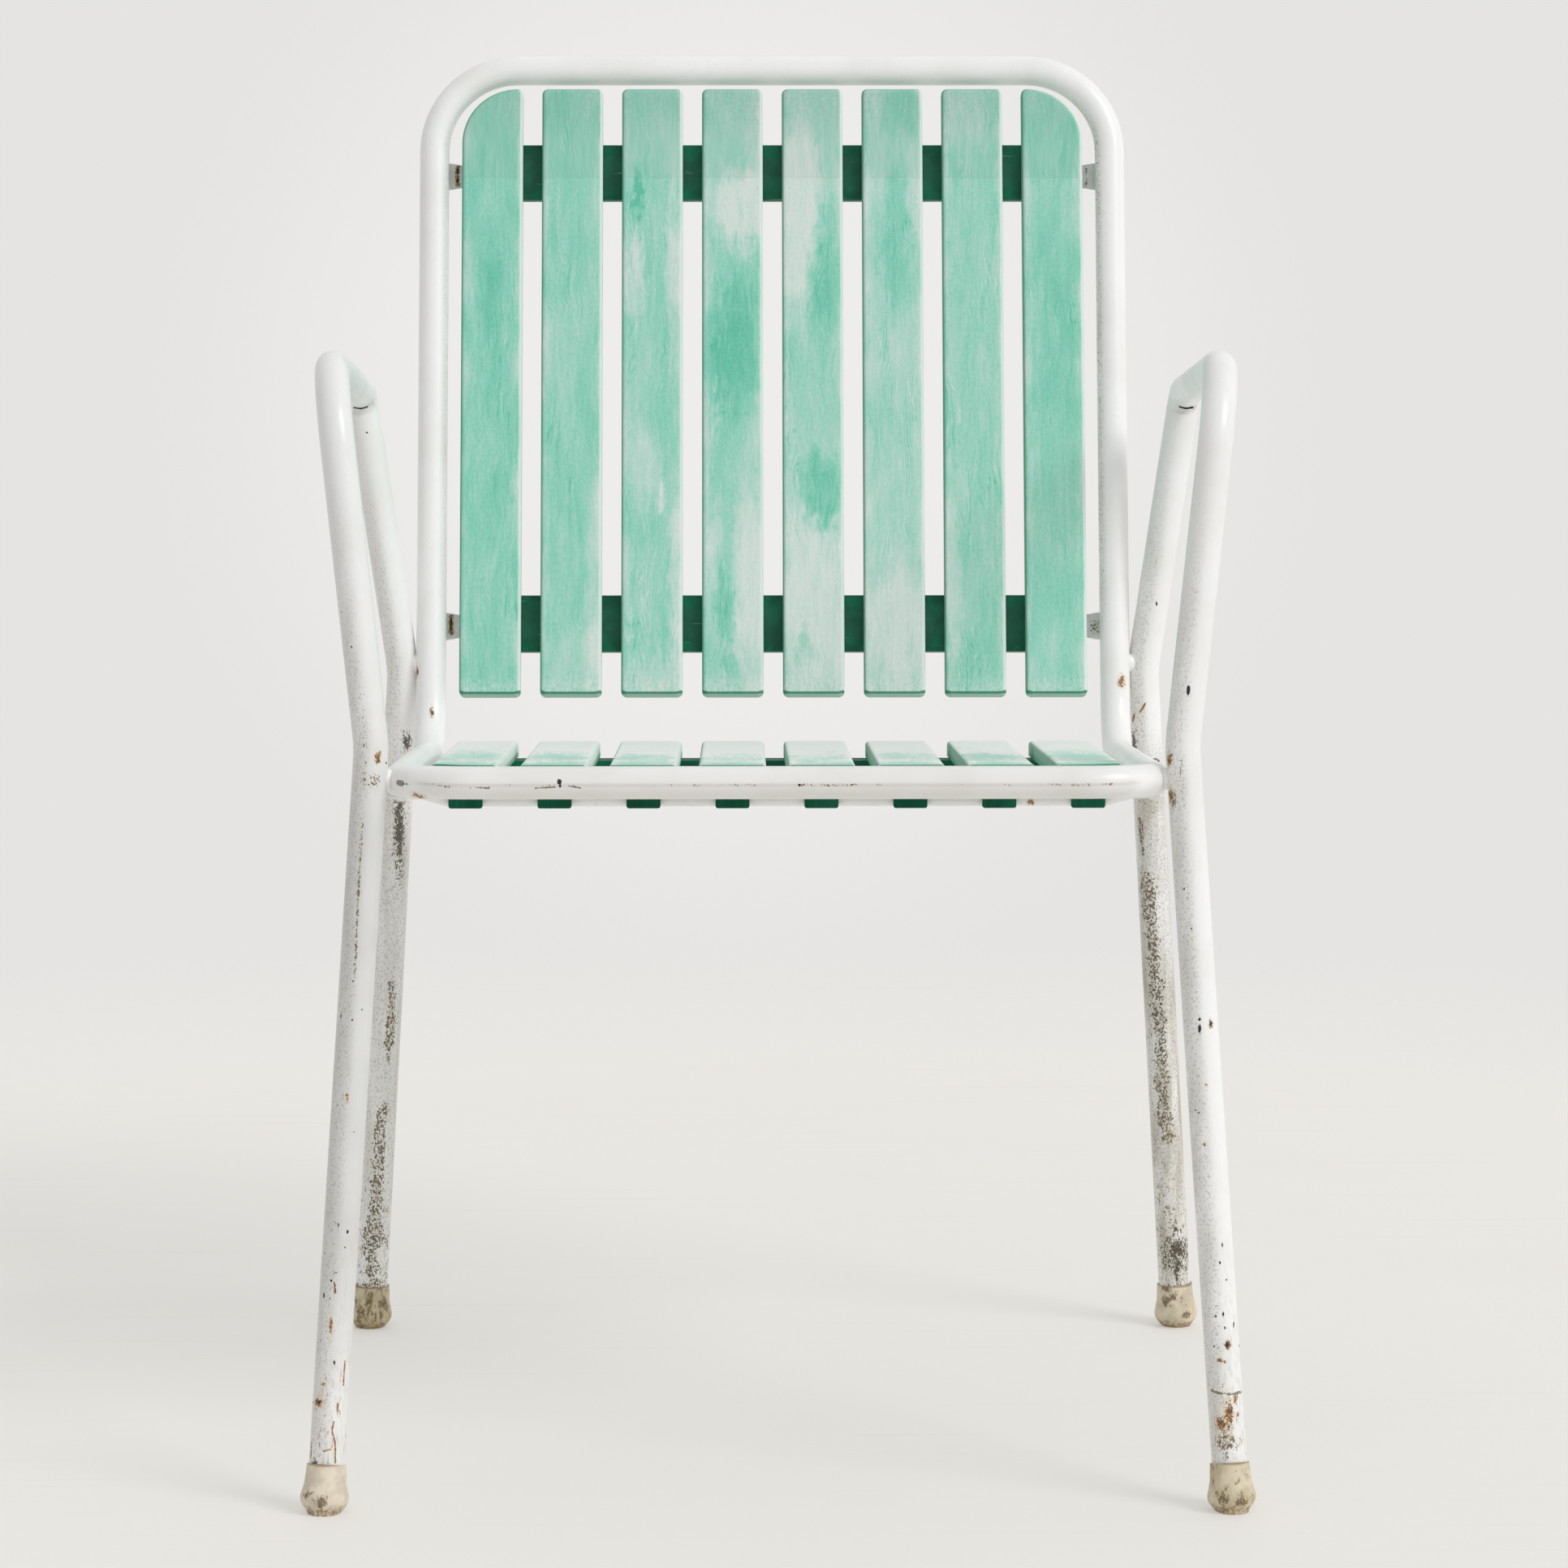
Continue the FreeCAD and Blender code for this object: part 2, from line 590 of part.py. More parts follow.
def make_foot(label, foot, upward):
    body = doc.addObject("PartDesign::Body", f"{label}_turned")
    profile = new_sketch(body, f"{label}_profile", "XZ_Plane")
    socket = size("leg_tube_diameter") / 2 + size("foot_clearance")
    rim = socket + size("foot_rim_wall")
    collar = socket + size("foot_collar_wall")
    contact = size("foot_contact_diameter") / 2
    flare = size("foot_flare_diameter") / 2
    add_polygon(profile, [
        (ZERO, -size("foot_under_floor")),
        (contact, -size("foot_under_floor")),
        (contact, ZERO),
        (flare, size("foot_flare_height")),
        (collar, size("foot_collar_height")),
        (rim, size("foot_height")),
        (socket, size("foot_height")),
        (socket, size("foot_sole")),
        (ZERO, size("foot_sole")),
    ])
    turned = body.newObject("PartDesign::Revolution", f"{label}_turning")
    turned.Profile = profile
    turned.ReferenceAxis = (profile, ["V_Axis"])
    flare_value = float(flare)

    def widest(edge):
        box = edge.BoundBox
        return abs(box.XLength - 2 * flare_value) < TOUCH and box.ZLength < TOUCH
    round_edges(body, f"{label}_rounding", turned, widest, size("foot_flare_rounding"))
    body.Placement = Placement(foot, Rotation(Vector(0, 0, 1), upward))
    floor = doc.addObject("Part::Box", f"{label}_floor")
    reach = number("foot_flare_diameter") * FLOOR_MARGIN
    floor.Length = floor.Width = floor.Height = 2 * reach
    floor.Placement = Placement(foot - Vector(reach, reach, 2 * reach), Rotation())
    trimmed = doc.addObject("Part::Cut", label)
    trimmed.Label = label
    trimmed.Base = body
    trimmed.Tool = floor
    return trimmed


def make_feet():
    feet = []
    for side, side_name in ((-1, "left"), (1, "right")):
        points = side_points(side)
        feet.append(make_foot(f"front_{side_name}_foot", points[0], points[1] - points[0]))
        feet.append(make_foot(f"rear_{side_name}_foot", points[-1], points[-2] - points[-1]))
    return feet


# Weld beads fill the space round each contact and stop at the metal
def make_leg_welds():
    beads = []
    frame = frame_rod(0)
    leg = side_rod(1, 0)
    for on_frame, on_leg in (front_weld, rear_weld):
        across = (on_leg - on_frame).normalize()
        ball = Part.makeSphere(number("weld_bead_radius"), on_frame + across * frame_radius, across)
        bead = ball.cut(frame).cut(leg)
        beads += bead.Solids + bead.mirror(Vector(), Vector(1, 0, 0)).Solids
    return solid_feature("leg_welds", Part.makeCompound(beads))


def make_tab_welds(cross_tubes):
    """Beads on both sides of the line where each flattened end bears on the frame."""
    beads = []
    frame = frame_rod(0)
    length = number("tab_bead_length")
    depth = face_height + frame_radius
    for tube, place, inset in cross_tubes:
        for side in (-1, 1):
            bead = Part.makeCylinder(number("tab_bead_radius"), length,
                                     Vector(side * half_width, float(inset) - length / 2, -depth),
                                     Vector(0, 1, 0))
            bead.Placement = place.multiply(bead.Placement)
            beads += bead.cut([frame, tube.Shape]).Solids
    return solid_feature("cross_tube_welds", Part.makeCompound(beads))


# The whole chair
seat_length = size("seat_slat_length")
back_length = size("back_slat_length")
seat_insets = [size("seat_front_rail_inset"), seat_length - size("seat_rear_rail_inset")]
back_insets = [size("back_lower_rail_inset"), back_length - size("back_upper_rail_inset")]
crossings = [
    ("seat_front", seat_place, seat_insets[0]),
    ("seat_rear", seat_place, seat_insets[1]),
    ("back_lower", back_place, back_insets[0]),
    ("back_upper", back_place, back_insets[1]),
]

feet = make_feet()
nodes = [make_frame(), make_side_tube("left_side_tube", -1), make_side_tube("right_side_tube", 1)]
nodes += make_panel("seat", seat_place, seat_length, seat_insets, rounded_far_end=False)
nodes += make_panel("back", back_place, back_length, back_insets, rounded_far_end=True)
nodes += [make_rail(f"{name}_rail", place, inset) for name, place, inset in crossings]
cross_tubes = [(make_cross_tube(f"{name}_cross_tube", place, inset), place, inset)
               for name, place, inset in crossings]
nodes += [tube for tube, place, inset in cross_tubes]
nodes += [make_leg_welds(), make_tab_welds(cross_tubes)]
doc.recompute()

# Centre the chair over the origin: the front feet and the top rail are its ends
ends = [node.Shape.optimalBoundingBox() for node in feet + nodes[:3]]
middle = (min(box.YMin for box in ends) + max(box.YMax for box in ends)) / 2
to_origin = Placement(Vector(0, -middle, 0), Rotation())
for node in nodes:
    node.Placement = to_origin.multiply(node.Placement)
for foot in feet:
    for piece in (foot.Base, foot.Tool):
        piece.Placement = to_origin.multiply(piece.Placement)
doc.recompute()
nodes += feet

for item in doc.Objects:
    if "Invalid" in item.State or "Error" in item.State:
        raise RuntimeError(f"{item.Name} failed: {item.State}")
for node in nodes:
    if node.Shape.isNull() or not node.Shape.isValid():
        raise RuntimeError(f"{node.Label} has no valid shape")

os.makedirs("parts", exist_ok=True)
for node in nodes:
    node.Shape.exportStep(f"parts/{node.Label}.step")
    print(node.Label, len(node.Shape.Solids), round(node.Shape.Volume))
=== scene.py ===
"""Looks of a stacking garden armchair: worn white paint, sun-bleached slats and dirty ferrules.

Sizes are metres in the frame of the CAD model: the chair faces -Y and stands on Z = 0.
"""
import math

import bmesh
import bpy
from mathutils import Euler, Matrix, Vector
from mathutils.bvhtree import BVHTree


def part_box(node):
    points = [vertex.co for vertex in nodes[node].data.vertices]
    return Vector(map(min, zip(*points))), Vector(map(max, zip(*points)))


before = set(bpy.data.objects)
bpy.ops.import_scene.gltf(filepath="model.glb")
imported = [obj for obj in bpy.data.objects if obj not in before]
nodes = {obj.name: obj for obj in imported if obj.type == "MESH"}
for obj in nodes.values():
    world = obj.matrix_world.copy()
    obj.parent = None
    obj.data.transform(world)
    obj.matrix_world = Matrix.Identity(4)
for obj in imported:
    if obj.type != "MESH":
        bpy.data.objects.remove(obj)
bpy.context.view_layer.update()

# Sizes of the CAD model
MM = 0.001
SLATS = 8
SEAT_TILT = math.radians(4.9)
BACK_RECLINE = math.radians(16.2)
FRAME_RADIUS = 0.010
FRONT_RAIL_HEIGHT = 0.4334
front_rail_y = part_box("seat_back_frame")[0].y + FRAME_RADIUS

# Camera
IMAGE_SIZE = 1932
SENSOR_WIDTH = 36.0
FOCAL_PIXELS = 7269
CAMERA_PITCH = math.radians(7.64)
CAMERA_YAW = math.radians(0.453)
CAMERA_HEIGHT = 0.9062
CAMERA_TO_FRONT_RAIL = 3.531
CAMERA_SIDE = -0.024

camera_place = Vector((CAMERA_SIDE, front_rail_y - CAMERA_TO_FRONT_RAIL, CAMERA_HEIGHT))
camera_turn = Euler((math.pi / 2 - CAMERA_PITCH, 0, -CAMERA_YAW)).to_matrix()
camera_data = bpy.data.cameras.new("camera")
camera_data.sensor_width = SENSOR_WIDTH
camera_data.lens = SENSOR_WIDTH * FOCAL_PIXELS / IMAGE_SIZE
camera = bpy.data.objects.new("camera", camera_data)
camera.matrix_world = Matrix.Translation(camera_place) @ camera_turn.to_4x4()
bpy.context.scene.collection.objects.link(camera)
bpy.context.scene.camera = camera


def surface_tree(node):
    mesh = node.data
    return BVHTree.FromPolygons([v.co for v in mesh.vertices], [p.vertices for p in mesh.polygons])


trees = {name: surface_tree(node) for name, node in nodes.items()}


def seen_at(pixel):
    """The CAD node that the photograph shows at a pixel, and the point on it."""
    across = (pixel[0] - IMAGE_SIZE / 2) / FOCAL_PIXELS
    down = (pixel[1] - IMAGE_SIZE / 2) / FOCAL_PIXELS
    ray = camera_turn @ Vector((across, -down, -1)).normalized()
    hits = []
    for name, tree in trees.items():
        point, _, _, distance = tree.ray_cast(camera_place, ray)
        if point is not None:
            hits.append((distance, name, point))
    if not hits:
        return None, None
    _, name, point = min(hits)
    return name, point


def srgb(red, green, blue):
    """A colour as it is seen on screen, 0 to 255, as linear values."""
    linear = []
    for level in (red, green, blue):
        share = level / 255
        linear.append(share / 12.92 if share <= 0.04045 else ((share + 0.055) / 1.055) ** 2.4)
    return (*linear, 1.0)


# Colour sockets of the mix node, and the rays that see a surface or the backdrop
MIX_FIRST = 6
MIX_SECOND = 7
MIX_RESULT = 2
SHOWN_RAYS = ("Is Camera Ray", "Is Glossy Ray", "Is Transmission Ray")


class NodeTree:
    """A node tree, with short names for the nodes it is made of."""

    def __init__(self, tree):
        self.tree = tree

    def node(self, kind, **settings):
        made = self.tree.nodes.new(kind)
        for key, value in settings.items():
            setattr(made, key, value)
        return made

    def feed(self, socket, value):
        if isinstance(value, bpy.types.NodeSocket):
            self.tree.links.new(value, socket)
        else:
            socket.default_value = value

    def math(self, operation, *values):
        made = self.node("ShaderNodeMath", operation=operation)
        for socket, value in zip(made.inputs, values):
            self.feed(socket, value)
        return made.outputs[0]

    def add(self, first, *others):
        for other in others:
            first = self.math("ADD", first, other)
        return first

    def times(self, first, *others):
        for other in others:
            first = self.math("MULTIPLY", first, other)
        return first

    def most(self, values):
        highest = values[0]
        for value in values[1:]:
            highest = self.math("MAXIMUM", highest, value)
        return highest

    def swing(self, value, amount):
        """A noise of mean 0.5 as a change of up to the amount, up or down."""
        return self.math("MULTIPLY_ADD", value, 2 * amount, -amount)

    def vector(self, operation, *values):
        made = self.node("ShaderNodeVectorMath", operation=operation)
        for socket, value in zip(made.inputs, values):
            self.feed(socket, value)
        scalar = operation in ("DOT_PRODUCT", "LENGTH", "DISTANCE")
        return made.outputs["Value" if scalar else "Vector"]

    def lengthened(self, direction, amount):
        made = self.node("ShaderNodeVectorMath", operation="SCALE")
        self.feed(made.inputs["Vector"], direction)
        self.feed(made.inputs["Scale"], amount)
        return made.outputs["Vector"]

    def scaled(self, vector, *factors):
        return self.vector("MULTIPLY", vector, factors)

    def combine(self, *values):
        made = self.node("ShaderNodeCombineXYZ")
        for socket, value in zip(made.inputs, values):
            self.feed(socket, value)
        return made.outputs[0]

    def split(self, vector):
        made = self.node("ShaderNodeSeparateXYZ")
        self.feed(made.inputs[0], vector)
        return made.outputs

    def noise(self, vector, scale=1.0, detail=2.0, roughness=0.5, distortion=0.0, output="Fac"):
        made = self.node("ShaderNodeTexNoise")
        settings = {"Vector": vector, "Scale": scale, "Detail": detail, "Roughness": roughness,
                    "Distortion": distortion}
        for key, value in settings.items():
            self.feed(made.inputs[key], value)
        return made.outputs[output]

    def fade(self, value, start, end, low=0.0, high=1.0):
        """A soft step from low at start to high at end."""
        made = self.node("ShaderNodeMapRange", interpolation_type="SMOOTHSTEP")
        for socket, setting in zip(made.inputs, (value, start, end, low, high)):
            self.feed(socket, setting)
        return made.outputs[0]

    def band(self, value, start, end, softness):
        rise = self.fade(value, start - softness, start + softness)
        fall = self.fade(value, end + softness, end - softness)
        return self.times(rise, fall)

    def mix(self, share, first, second):
        made = self.node("ShaderNodeMix", data_type="RGBA")
        self.feed(made.inputs["Factor"], share)
        self.feed(made.inputs[MIX_FIRST], first)
        self.feed(made.inputs[MIX_SECOND], second)
        return made.outputs[MIX_RESULT]

    def blend(self, share, first, second):
        """A mix of two whole shaders."""
        made = self.node("ShaderNodeMixShader")
        for socket, value in zip(made.inputs, (share, first, second)):
            self.feed(socket, value)
        return made.outputs[0]

    def shown(self):
        """1 for the rays that show a thing, 0 for those that only light it."""
        path = self.node("ShaderNodeLightPath")
        return self.most([path.outputs[kind] for kind in SHOWN_RAYS])

    def ramp(self, value, stops, interpolation="LINEAR"):
        made = self.node("ShaderNodeValToRGB")
        elements = made.color_ramp.elements
        made.color_ramp.interpolation = interpolation
        while len(elements) < len(stops):
            elements.new(0.5)
        for element, (position, colour) in zip(elements, stops):
            element.position = position
            element.color = colour
        self.feed(made.inputs[0], value)
        return made.outputs["Color"]

    def by_slat(self, share, levels):
        """One level for each slat, by the slat's share of the panel's width."""
        stops = [(index / len(levels), (level, level, level, 1)) for index, level in enumerate(levels)]
        return self.ramp(share, stops, "CONSTANT")

    def bump(self, height, distance, strength):
        made = self.node("ShaderNodeBump")
        self.feed(made.inputs["Height"], height)
        self.feed(made.inputs["Distance"], distance)
        self.feed(made.inputs["Strength"], strength)
        return made.outputs[0]


class Shader(NodeTree):
    """One material."""

    def __init__(self, name):
        self.material = bpy.data.materials.new(name)
        self.material.use_nodes = True
        super().__init__(self.material.node_tree)
        self.surface = self.tree.nodes["Principled BSDF"]
        self.place = self.node("ShaderNodeTexCoord").outputs["Object"]
        self.normal = self.node("ShaderNodeNewGeometry").outputs["Normal"]

    def finish(self, colour, roughness, normal):
        self.feed(self.surface.inputs["Base Color"], colour)
        self.feed(self.surface.inputs["Roughness"], roughness)
        self.feed(self.surface.inputs["Normal"], normal)
        return self.material


# Wear of the paint: what it is, the pixel it is seen at, its radius in mm and its stretch downwards
PAINT_MARKS = [
    ("chip", (689, 963), 1.5, 1.2),
    ("chip", (690, 968), 0.8, 1.8),
    ("chip", (985, 967), 0.9, 1.0),
    ("scuff", (493, 965), 4.2, 0.42),
    ("chip", (490, 963), 0.7, 0.6),
    ("chip", (497, 966), 0.6, 1.6),
    ("rust", (514, 828), 2.2, 1.5),
    ("rust", (532, 878), 1.3, 2.4),
    ("grime", (501, 914), 3.2, 1.8),
    ("rust", (466, 933), 2.0, 1.6),
    ("speckle", (462, 962), 8.0, 1.2),
    ("chip", (476, 940), 0.8, 1.0),
    ("speckle", (1446, 985), 6.0, 1.6),
    ("speckle", (1440, 935), 5.0, 1.2),
    ("chip", (1428, 938), 0.8, 0.6),
    ("rust", (517, 982), 4.0, 0.7),
    ("grime", (492, 1023), 3.6, 7.0),
    ("chip", (433, 797), 0.6, 1.0),
    ("chip", (421, 754), 0.5, 1.0),
    ("chip", (452, 533), 0.7, 1.0),
    ("rust", (1382, 840), 2.4, 1.5),
    ("grime", (1397, 915), 2.2, 3.2),
    ("rust", (1441, 936), 2.2, 1.6),
    ("rust", (1442, 981), 2.6, 1.7),
    ("chip", (1464, 850), 1.2, 2.6),
    ("rust", (1270, 989), 2.2, 0.8),
    ("chip", (1425, 744), 0.6, 2.4),
    ("speckle", (1349, 772), 8.0, 1.2),
    ("chip", (1478, 1268), 1.1, 2.4),
    ("chip", (1478, 1256), 0.7, 1.3),
    ("rust", (1492, 1262), 1.4, 1.4),
    ("chip", (1492, 1262), 1.0, 1.5),
    ("rust", (1486, 1337), 0.8, 1.0),
    ("chip", (1477, 1371), 0.6, 1.0),
    ("chip", (1473, 1368), 0.5, 1.0),
    ("rust", (1484, 1410), 0.8, 1.5),
    ("chip", (1459, 1095), 0.5, 1.6),
    ("chip", (1468, 1144), 0.5, 1.0),
    ("chip", (1506, 1534), 0.5, 3.0),
    ("chip", (1503, 1556), 0.5, 2.4),
    ("chip", (1511, 1577), 0.5, 1.4),
    ("chip", (1507, 1619), 0.6, 2.6),
    ("chip", (1498, 1622), 0.6, 1.2),
    ("chip", (1509, 1636), 0.5, 2.2),
    ("chip", (1520, 1632), 0.5, 4.0),
    ("rust", (1513, 1657), 1.6, 1.7),
    ("chip", (1512, 1657), 1.0, 1.9),
    ("chip", (1496, 1659), 0.6, 1.0),
    ("chip", (1527, 1658), 0.6, 2.2),
    ("rust", (1503, 1676), 1.5, 0.7),
    ("rust", (1509, 1678), 0.8, 0.8),
    ("rust", (1522, 1724), 1.4, 1.6),
    ("rust", (1525, 1743), 1.2, 1.2),
    ("rust", (1514, 1743), 2.4, 3.8),
    ("rust", (1505, 1755), 3.4, 1.2),
    ("speckle", (1511, 1778), 13.0, 0.6),
    ("grime", (1452, 1539), 5.6, 1.1),
    ("grime", (1450, 1562), 2.4, 3.2),
    ("grime", (1448, 1514), 2.0, 0.8),
    ("speckle", (1450, 1546), 12.0, 1.6),
    ("chip", (435, 1209), 0.6, 1.0),
    ("chip", (420, 1252), 0.5, 2.2),
    ("chip", (434, 1257), 0.5, 1.0),
    ("chip", (446, 1244), 0.5, 1.0),
    ("rust", (428, 1352), 0.8, 3.4),
    ("chip", (416, 1362), 0.5, 1.2),
    ("chip", (405, 1416), 0.5, 1.6),
    ("chip", (436, 1395), 0.4, 1.0),
    ("chip", (428, 1518), 0.8, 1.5),
    ("chip", (417, 1509), 0.5, 3.0),
    ("chip", (400, 1544), 0.7, 0.5),
    ("chip", (425, 1537), 0.5, 1.0),
    ("chip", (414, 1568), 0.8, 0.4),
    ("chip", (408, 1578), 0.8, 1.0),
    ("chip", (399, 1596), 0.7, 2.6),
    ("rust", (408, 1633), 1.0, 5.0),
    ("chip", (412, 1679), 0.6, 2.0),
    ("rust", (398, 1706), 1.1, 1.0),
    ("rust", (393, 1728), 3.0, 0.9),
    ("chip", (394, 1727), 1.1, 0.8),
    ("chip", (386, 1728), 0.7, 1.4),
    ("grime", (387, 1803), 1.6, 1.6),
]
# Longer wear: what it is, its radius in mm and the pixels that it runs through
PAINT_STREAKS = [
    ("line", 0.6, [(1411, 867), (1405, 877)]),
    ("line", 0.8, [(1398, 881), (1396, 888)]),
    ("dirt", 0.7, [(1421, 935), (1428, 937)]),
    ("line", 0.6, [(412, 1581), (413, 1593)]),
    ("line", 0.5, [(425, 1677), (423, 1707)]),
    ("line", 0.5, [(416, 1730), (416, 1739)]),
    ("line", 0.5, [(411, 1752), (409, 1762), (413, 1778), (413, 1802)]),
    ("line", 0.4, [(399, 1788), (407, 1786)]),
    ("line", 0.6, [(384, 1778), (383, 1796)]),
    ("line", 1.5, [(564, 206), (564, 227)]),
    ("slit", 0.9, [(564, 209), (564, 224)]),
    ("line", 1.5, [(556, 760), (556, 779)]),
    ("slit", 0.8, [(556, 763), (556, 776)]),
    ("dirt", 0.7, [(1338, 208), (1338, 228)]),
    ("slit", 1.0, [(437, 502), (445, 503), (452, 501)]),
    ("slit", 1.0, [(1454, 501), (1461, 503), (1469, 502)]),
    ("dirt", 0.5, [(500, 966), (545, 968)]),
    ("dirt", 0.6, [(548, 969), (603, 971)]),
    ("dirt", 0.5, [(660, 971), (683, 970)]),
    ("dirt", 0.5, [(700, 968), (716, 971)]),
    ("mould", 7.5, [(1413, 1080), (1423, 1196), (1429, 1268), (1433, 1340), (1439, 1405)]),
    ("mould", 2.8, [(1404, 1010), (1409, 1052)]),
    ("mould", 4.0, [(483, 1212), (479, 1308)]),
    ("mould", 6.5, [(471, 1366), (465, 1430), (462, 1490), (459, 1530), (457, 1580)]),
    ("mould", 1.2, [(447, 1012), (442, 1090), (437, 1205)]),
    ("dirt", 0.9, [(1493, 1713), (1500, 1716), (1507, 1717), (1515, 1718), (1523, 1717), (1529, 1715)]),
]
PAINT_NODES = ["seat_back_frame", "left_side_tube", "right_side_tube", "leg_welds", "cross_tube_welds",
               "seat_front_cross_tube", "seat_rear_cross_tube", "back_lower_cross_tube",
               "back_upper_cross_tube"]

# Pixels above and below a mark, to find the way down the surface
DOWN_STEP = 4


def seen_downwards(pixel):
    """The direction on the surface that runs down the picture at a pixel."""
    upper_name, upper = seen_at((pixel[0], pixel[1] - DOWN_STEP))
    lower_name, lower = seen_at((pixel[0], pixel[1] + DOWN_STEP))
    if upper_name is None or upper_name != lower_name:
        return Vector((0, 0, -1))
    return (lower - upper).normalized()


marks_on = {name: [] for name in PAINT_NODES}
for kind, pixel, radius, stretch in PAINT_MARKS:
    node_name, point = seen_at(pixel)
    if node_name in marks_on:
        marks_on[node_name].append((kind, point, seen_downwards(pixel), radius * MM, stretch))
streaks_on = {name: [] for name in PAINT_NODES}
for kind, radius, pixels in PAINT_STREAKS:
    for first_pixel, last_pixel in zip(pixels, pixels[1:]):
        node_name, first = seen_at(first_pixel)
        last_name, last = seen_at(last_pixel)
        if node_name in streaks_on and node_name == last_name:
            streaks_on[node_name].append((kind, first, last, radius * MM))

PAINT = srgb(246, 246, 245)
PAINT_AGED = srgb(238, 237, 234)
# Dirt, also the colour of the painted shade on the arms and the front rail
PAINT_DIRT_AND_SHADE = srgb(177, 167, 147)
# Grey of the painted shade on the front legs and arms
PAINT_SHADE_GREY = srgb(171, 171, 168)
DUST_SPECK = srgb(112, 110, 103)
MOULD = srgb(64, 61, 45)
SPECK_BROWN = srgb(98, 78, 46)
RUST_DARK = srgb(82, 54, 26)
RUST = srgb(170, 110, 44)
RUST_STAIN = srgb(216, 190, 146)
CHIP = srgb(34, 30, 27)
FLECK = srgb(62, 54, 44)
SCUFF = srgb(118, 117, 115)

# Wear that fills its marks: their kinds, how much they grow, how ragged the rim is, the closeness at which
# the wear starts and is full, and the share it covers at most
WEAR_FILLS = {
    "rust": (("rust",), 1.3, 1.35, 0.20, 0.55, 0.92),
    "stain": (("rust", "line"), 1.9, 0.8, -0.05, 0.75, 0.75),
    "line": (("line",), 1.3, 0.9, 0.10, 0.45, 0.85),
    "chip": (("chip",), 1.25, 0.60, 0.12, 0.34, 1.0),
    "slit": (("slit",), 1.0, 0.20, 0.10, 0.35, 1.0),
    "dirt": (("dirt",), 1.3, 1.5, 0.15, 0.50, 0.80),
    "grime": (("grime",), 1.3, 1.7, 0.15, 0.45, 0.92),
    "scuff": (("scuff",), 1.2, 0.5, 0.05, 0.30, 0.90),
}
# Closeness to a mark is 1 in its middle and 0 at its rim, and is cut off this many radii away
FARTHEST = 3.0
NOWHERE = 1 - FARTHEST
# Heights between which the wear of the feet fades in, and what shifts the rubs off the other noises
LOW_HEIGHTS = (0.20, 0.02)
RUB_SHIFT = (7, 7, 7)
PAINT_RELIEF = 0.4 * MM


